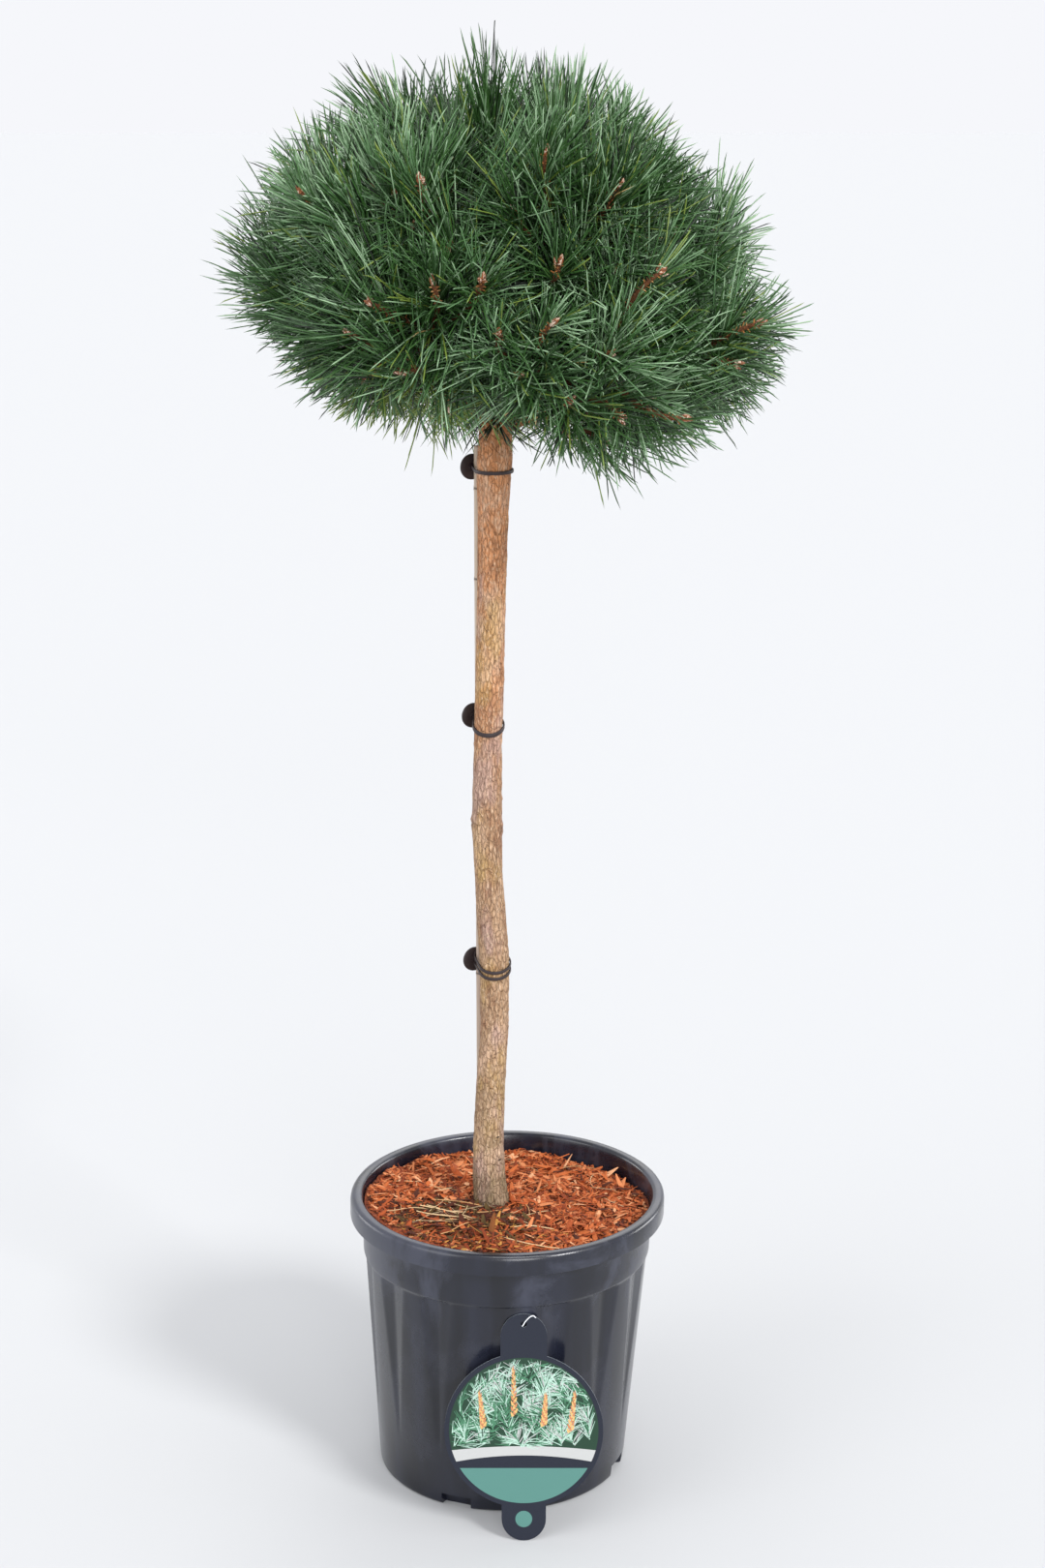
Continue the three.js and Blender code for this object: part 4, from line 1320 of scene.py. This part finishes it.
def shoot_paths(random, buds, headings, owners, loose):
    """Curves from each bough to its shoots, by way of forks that serve a few near shoots each."""
    starts = np.zeros_like(buds)
    forks = []
    for number, mass in enumerate(MASSES):
        mine = np.flatnonzero((owners == number) & ~loose)
        start, bend, end = bough_line(mass)
        line = bends(start[None], bend[None], end[None], 21)[0]
        groups = max(1, round(len(mine) / SHOOTS_A_FORK))
        centres = buds[mine][random.choice(len(mine), groups, replace=False)]
        for _ in range(6):
            near = np.argmin(np.linalg.norm(buds[mine][:, None] - centres[None], axis=2), 1)
            centres = np.array([
                buds[mine][near == group].mean(0) if np.any(near == group) else centres[group]
                for group in range(groups)
            ])
        for group in range(groups):
            members = mine[near == group]
            if len(members) == 0:
                continue
            root = line[np.argmin(np.linalg.norm(line - centres[group], axis=1) + 0.05 * random.random(21))]
            fork = root + (centres[group] - root) * 0.45 - [0, 0, 4 * MM]
            forks.append((root, fork))
            starts[members] = fork
    starts[loose] = trunk_middle(buds[loose, 2] - 12 * MM)
    span = np.linalg.norm(buds - starts, axis=1, keepdims=True)
    middles = buds - headings * span * 0.5
    return bends(starts, middles, buds, SHOOT_STEPS), forks


def clothe(random, paths, habits):
    """Needle pairs round shoots: base, direction, length, spray and age; and every sheath's place."""
    parts, sheaths = [], []
    for spray, (path, look) in enumerate(zip(paths, habits)):
        run = np.concatenate([[0], np.cumsum(np.linalg.norm(np.diff(path, axis=0), axis=1))])
        total = run[-1]
        young = min(total * 0.9, random.uniform(*YOUNG_LENGTHS) * MM) * look["young"]
        pairs = int(young / MM * look["dense"])
        old_pairs = int(max(0, total - young) / MM * 0.4 * look["dense"])
        back = np.concatenate([
            young * (np.arange(pairs) + random.random(pairs)) / max(1, pairs),
            young + (total - young) * random.random(old_pairs),
        ])
        count = len(back)
        spot = along_line(total - back, run, path)
        ahead = unit(along_line(total - back, run, np.gradient(path, run, axis=0)))
        side, over = sideways(ahead)
        angle = GOLDEN * np.arange(count) + random.normal(0, 0.25, count)
        out = side * np.cos(angle)[:, None] + over * np.sin(angle)[:, None]
        share = np.clip(back / max(young, 1e-6), 0, 1)
        old = back > young
        level = 1 - np.clip(ahead[:, 2] / 0.8, 0, 1)
        lean = look["wide"] + 11 + 16 * level + 39 * share**0.85 + random.normal(0, 8, count)
        lean = np.radians(np.where(old, random.normal(72, 12, count), lean))
        aim = ahead * np.cos(lean)[:, None] + out * np.sin(lean)[:, None]
        bare = (out @ VIEWER > 0.05) & (back < look["bare"]) & (back > MM)
        keep = ~bare
        long = random.normal(NEEDLE_LENGTH, 8, count) * look["long"] * MM
        long = long * np.where(old, 0.88, 0.86 + 0.14 * np.clip(back / (14 * MM), 0, 1))
        split = random.uniform(0.05, 0.11, count)
        cross = unit(np.cross(aim, out + 0.3 * over))
        for sign in (-1, 1):
            tilted = unit(aim + sign * split[:, None] * cross)
            length = long * random.uniform(0.95, 1.04, count)
            rows = np.column_stack([spot + out * 1.8 * MM, tilted, length, np.full(count, spray), old])
            parts.append(rows[keep])
        seen = bare | (random.random(count) < 0.3)
        sheaths.append(np.column_stack([spot + out * MM, unit(out + 0.5 * ahead)])[seen])
    rows = np.concatenate(parts)
    sheaths = np.concatenate(sheaths)
    return rows[:, :3], rows[:, 3:6], rows[:, 6], rows[:, 7].astype(int), rows[:, 8] > 0, sheaths


def seen_from_front(points):
    """How far points are seen to the right of the crown's heart and above it."""
    return np.stack([points[:, 0], points[:, 2] + VIEW_SLOPE * points[:, 1] - CROWN_HEART[2]], -1)


def outline_turns(seen):
    return np.degrees(np.arctan2(seen[:, 1], seen[:, 0])) % 360 / OUTLINE_SLOT


def crown_outline():
    """How far the frame's foliage is seen to reach from the crown's heart, slot by slot."""
    corners = [vertex.co for mesh in foliage_meshes() for vertex in mesh.vertices]
    seen = seen_from_front(np.array(corners))
    slots = 360 // OUTLINE_SLOT
    reach = np.zeros(slots)
    slot = np.round(outline_turns(seen)).astype(int) % slots
    np.maximum.at(reach, slot, np.linalg.norm(seen, axis=1))
    return (np.roll(reach, 1) + reach + np.roll(reach, -1)) / 3 - OUTLINE_INSET


def beyond_outline(outline, points):
    """How far points are seen beyond the crown's outline from the front, and which way that is."""
    seen = seen_from_front(points)
    closed = np.append(outline, outline[0])
    reach = np.interp(outline_turns(seen), np.arange(len(closed)), closed)
    return np.linalg.norm(seen, axis=1) - reach, unit(seen)


def fitted_lengths(random, reach, outline, bases, aims, lengths):
    """Needle lengths, cut back where a tip would stand outside the crown's skin or its outline."""
    spare = np.clip(random.normal(6, 8, len(bases)), -8, 18) * MM
    tips = bases + aims * lengths[:, None] - CROWN_HEART
    far = np.linalg.norm(tips, axis=1)
    excess = far - skin_reach(reach, tips / far[:, None]) - 6 * MM - spare
    low = tips[:, 2] / far < -0.8
    fitted = np.maximum(lengths - np.where(low, 0, np.clip(excess, 0, None) * 1.1), lengths * 0.6)
    beyond, outward = beyond_outline(outline, bases + aims * fitted[:, None])
    pace = aims[:, 0] * outward[:, 0] + (aims[:, 2] + VIEW_SLOPE * aims[:, 1]) * outward[:, 1]
    fitted = fitted - np.clip(beyond - spare, 0, None) / np.maximum(pace, 0.3)
    low, high = np.array(CAD_BOX)
    room = np.where(aims > 0, high - bases, bases - low) / np.maximum(np.abs(aims), 1e-6)
    return np.minimum(np.maximum(fitted, lengths * 0.5), np.min(room, 1))


def needle_paths(random, bases, aims, lengths, sweeps, shares):
    """Needles curve a little, those of one spray mostly the same way, and the level ones sag."""
    count = len(bases)
    side, over = sideways(aims)
    curl = side * random.normal(0, 0.07, (count, 1)) + over * random.normal(0, 0.07, (count, 1))
    sag = np.array([0, 0, -0.03]) * (1 - np.abs(aims[:, 2:]))
    bend = ((curl + sag + sweeps) * lengths[:, None])[:, None, :] * 2
    share = np.array(shares)[None, :, None]
    paths = bases[:, None] + aims[:, None] * lengths[:, None, None] * share + bend * share**2
    low, high = np.array(CAD_BOX)
    return np.clip(paths, low - STRAY, high + STRAY)


def needle_tones(random, buds, sprays, old, skin):
    """A tone for each needle, dealt by spray with a few strays. Sprays further right and higher up get
    lighter tones, a painted light, and the deep shoots mostly the darkest tone, a painted shade.
    """
    count = len(buds)
    # painted light: the tone rises with the spray's place, lighter to the right and towards the top
    light = random.random(count) + 0.3 * buds[:, 0] + 0.8 * (buds[:, 2] - 1.22)
    main = 1 + (light > 0.26) + (light > 0.8)
    low = (buds[:, 2] < 1.1) & (np.hypot(buds[:, 0], buds[:, 1]) < 0.17)
    main = np.where(low & (random.random(count) < 0.6) & (buds[:, 0] < 0.01), 5, main)
    # painted shade: the deep shoots inside the crown mostly take the darkest tone
    main[skin:] = random.choice(7, count - skin, p=(0.62, 0.22, 0.04, 0.0, 0.0, 0.11, 0.01))
    tone = main[sprays]
    stray = random.random(len(sprays))
    shifted = np.clip(tone + random.choice((-1, 1), len(sprays)), 1, 4)
    tone = np.where((stray < 0.5) & (tone > 0) & (tone < 5), shifted, tone)
    for low, high, dealt in ((0.96, 1, 4), (0.86, 0.92, 0), (0.92, 0.96, 5)):
        tone = np.where((stray > low) & (stray < high) & (sprays < skin), dealt, tone)
    chance = random.random(len(sprays))
    # old needles inside the crown take dark tones, partly painted shade, and some the yellow-green of ageing
    # needles
    tone = np.where(old, random.choice((0, 0, 1, 1, 5), len(sprays)), tone)
    return np.where(old & (chance < 0.025), 6, tone)


def make_needles(random, mass, groups, finishes):
    """One mass of needles, each with a rounded back and a paler flat inner face."""
    parts = []
    for bases, aims, lengths, sweeps, tone, shares, widths in groups:
        paths = needle_paths(random, bases, aims, lengths, sweeps, shares)
        radii = random.uniform(0.66, 0.86, (len(paths), 1)) * MM * np.array(widths)[None]
        twist = random.uniform(0, math.pi * 2, len(paths))
        points, faces, each = tubes(paths, radii, 3, flat=0.85, tip=True, twist=twist)
        inner = np.tile(np.arange(each) % 3 == 2, len(paths))
        back = np.repeat(tone, each)
        parts.append((points, faces, np.where(inner, INNER_FACES[back], back)))
    points, faces, which = joined(parts)
    piece = new_piece("needles_" + mass[0], points, faces, finishes, which)
    settle(piece, "needles", "foliage_" + mass[0])


def make_crown():
    """Shoots from every bough, clothed with needles, sheaths and buds."""
    random = np.random.default_rng(2024)
    reach = crown_skin()
    outline = crown_outline()
    buds, headings, habits, skin, loose = grow_shoots(random, reach, outline)
    middles = np.array([mass_middle(mass) for mass in MASSES])
    owners = np.argmin(np.linalg.norm(buds[:, None] - middles[None], axis=2), 1)
    is_loose = np.arange(len(buds)) >= len(buds) - loose
    paths, forks = shoot_paths(random, buds, headings, owners, is_loose)
    bases, aims, lengths, sprays, old, sheaths = clothe(random, paths, habits)
    lengths = fitted_lengths(random, reach, outline, bases, aims, lengths)
    tone = needle_tones(random, buds, sprays, old, skin)
    finishes = plain_finishes(0.4, NEEDLE_TONES, specular_ior_level=0.55)
    sweeps = random.normal(0, 0.065, (len(buds), 3)) + [0, 0, 0.02]
    outside = (sprays < skin) & ~old
    for number, mass in enumerate(MASSES):
        mine = owners[sprays] == number
        groups = []
        for part, shares, widths in (
            (mine & outside, (0, 0.45, 0.92, 1), (0.85, 1.0, 0.9, 0)),
            (mine & ~outside, (0, 0.8, 1), (0.95, 0.9, 0)),
        ):
            sweep = sweeps[sprays[part]]
            groups.append((bases[part], aims[part], lengths[part], sweep, tone[part], shares, widths))
        make_needles(random, mass, groups, finishes)
    make_twigs(random, paths, forks)
    make_sheaths(random, sheaths)
    make_buds(random, buds[:skin], headings[:skin])


def make_twigs(random, paths, forks):
    """Shoots and the forks that carry them."""
    thick = np.linspace(3.3, 2.0, paths.shape[1])[None] * MM * random.uniform(0.85, 1.1, (len(paths), 1))
    shoots = tubes(paths, thick, 7)
    roots = np.array([fork[0] for fork in forks])
    ends = np.array([fork[1] for fork in forks])
    fork_paths = bends(roots, (roots + ends) / 2 + [0, 0, -6 * MM], ends, 8)
    fork_radii = np.linspace(4.2, 3.3, 8)[None] * MM * np.ones((len(forks), 1))
    branches = tubes(fork_paths, fork_radii, 7)
    finish = plain_finish("shoot_brown_bark", shade(104, 62, 34), 0.8)
    points, faces, _ = joined([(*shoots[:2], 0), (*branches[:2], 0)])
    points = points + random.normal(0, 0.2, points.shape) * MM
    settle(new_piece("twigs", points, faces, [finish]), "bough_bark")


def make_sheaths(random, sheaths):
    """The small brown sheaths that hold the needle pairs, and stay on where these have dropped."""
    places, outs = sheaths[:, :3], sheaths[:, 3:]
    paths = np.stack([places, places + outs * random.uniform(3.2, 5, (len(places), 1)) * MM], 1)
    radii = np.tile(np.array([0.95, 0.6]) * MM, (len(paths), 1))
    points, faces, each = tubes(paths, radii, 3)
    finishes = [
        plain_finish("sheath_orange_brown", shade(172, 112, 58), 0.8),
        plain_finish("sheath_dark_brown", shade(98, 66, 38), 0.85),
        plain_finish("sheath_tan", shade(196, 150, 98), 0.8),
    ]
    which = np.repeat(random.choice(3, len(paths), p=(0.5, 0.3, 0.2)), each)
    settle(new_piece("needle_sheaths", points, faces, finishes, which), "bough_bark")


def make_buds(random, places, headings):
    """Pointed winter buds in red-brown scales, with white resin on some."""
    count = len(places)
    starts, ends, radii = [places], [places + headings * random.uniform(9, 13, (count, 1)) * MM], [2.7]
    side, over = sideways(headings)
    for _ in range(3):
        has = random.random(count) < 0.35
        angle = random.uniform(0, 2 * math.pi, (count, 1))
        away = side * np.cos(angle) + over * np.sin(angle)
        place = (places + away * 2.6 * MM)[has]
        starts.append(place)
        ends.append(place + (headings + 0.5 * away)[has] * 7 * MM)
        radii.append(1.8)
    shares = np.array([0.0, 0.15, 0.4, 0.65, 0.85, 1.0])
    widths = np.array([0.75, 1.0, 1.0, 0.75, 0.42, 0.0])
    parts = []
    for start, end, radius in zip(starts, ends, radii):
        path = start[:, None] + (end - start)[:, None] * shares[None, :, None]
        reach = radius * MM * widths[None] * np.ones((len(start), 1))
        points, faces, each = tubes(path, reach, 8, tip=True)
        tone = random.choice(3, (len(start), each), p=(0.46, 0.32, 0.22))
        parts.append((points, faces, tone.ravel()))
    finishes = [
        plain_finish("bud_brown_scale", shade(150, 90, 54), 0.5),
        plain_finish("bud_white_resin", shade(226, 196, 176), 0.4),
        plain_finish("bud_dark_scale", shade(96, 54, 34), 0.55),
    ]
    points, faces, which = joined(parts)
    settle(new_piece("winter_buds", points, faces, finishes, which, False), "bough_bark")


# ---- studio ----

CAMERA_PLACE = (0.0148, -2.349, 1.3126)
CAMERA_TILT = 75.285
CAMERA_LENS = 59.02
FLOOR_REACH = 150.0
LIGHTS_AIM = Vector((0, 0, 0.6))
# name, place, strength, spread in degrees, and whether it lights glossy reflections only
SUNS = (
    ("key_light", (1.45, -1.5, 2.0), 1.85, 14, False),
    ("fill_light", (-1.8, -1.4, 1.6), 0.72, 36, False),
    ("front_light", (0.4, -2.4, 1.2), 0.95, 24, False),
    ("rear_light", (0.4, 1.8, 2.0), 0.48, 40, False),
    ("top_gloss_light", (0.2, -0.9, 2.6), 1.1, 30, True),
    ("right_gloss_light", (2.2, 1.0, 0.75), 1.3, 30, True),
    ("left_gloss_light", (-2.2, 1.0, 0.75), 0.8, 30, True),
)


def make_studio():
    """The camera, the lamps, the surroundings and a pale floor."""
    camera = bpy.data.objects.new("view_camera", bpy.data.cameras.new("view_camera"))
    camera.data.sensor_width = 36
    camera.data.lens = CAMERA_LENS
    camera.location = CAMERA_PLACE
    camera.rotation_euler = (math.radians(CAMERA_TILT), 0, 0)
    camera.data.clip_end = 500
    bpy.context.scene.collection.objects.link(camera)
    bpy.context.scene.camera = camera
    for sun in SUNS:
        add_sun(*sun)
    bpy.context.scene.world = make_surroundings()
    bpy.context.scene.view_settings.view_transform = "Standard"
    corners = FLOOR_REACH * np.array([[-1, -1, 0], [1, -1, 0], [1, 1, 0], [-1, 1, 0]])
    floor_finish = plain_finish("floor_pale", shade(205, 206, 207), 0.7, specular_ior_level=0.0)
    new_piece("studio_floor", corners, [[0, 1, 2, 3]], [floor_finish], smooth=False)


def make_surroundings():
    world = bpy.data.worlds.new("studio_world")
    world.use_nodes = True
    background = world.node_tree.nodes["Background"]
    background.inputs["Color"].default_value = (*shade(246, 247, 251), 1)
    return world


def add_sun(name, place, strength, spread, gloss_only):
    """A lamp as wide as its spread, turned towards the middle of the plant."""
    lamp = bpy.data.objects.new(name, bpy.data.lights.new(name, "SUN"))
    lamp.data.energy = strength
    lamp.data.angle = math.radians(spread)
    lamp.location = place
    lamp.rotation_euler = (LIGHTS_AIM - Vector(place)).to_track_quat("-Z", "Y").to_euler()
    lamp.visible_diffuse = not gloss_only
    bpy.context.scene.collection.objects.link(lamp)


def settle(piece, slot, *nodes):
    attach(piece, BODY)
    if nodes:
        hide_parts(*nodes)


# ---- the plant ----

make_studio()
settle(make_pot(pot_finish()), "pot_plastic", "pot")
settle(make_soil(soil_finish()), "growing_medium", "growing_medium")
settle(make_mulch_bed(mulch_base_finish()), "bark_mulch", "bark_mulch")
settle(make_mulch_chips(), "bark_mulch")
settle(make_litter(), "bark_mulch")
settle(make_trunk(trunk_finish()), "trunk_bark", "trunk")
settle(make_boughs(bough_finish()), "bough_bark", *("bough_" + mass[0] for mass in MASSES))
settle(make_cane(cane_finish()), "cane_bamboo", "support_cane")
RUBBER = rubber_finish()
for tie in TIES:
    settle(make_tie(tie, RUBBER), "tie_rubber", tie[0])
settle(make_label(), "label_card", "label")
settle(make_label_loop(), "label_card")
make_crown()
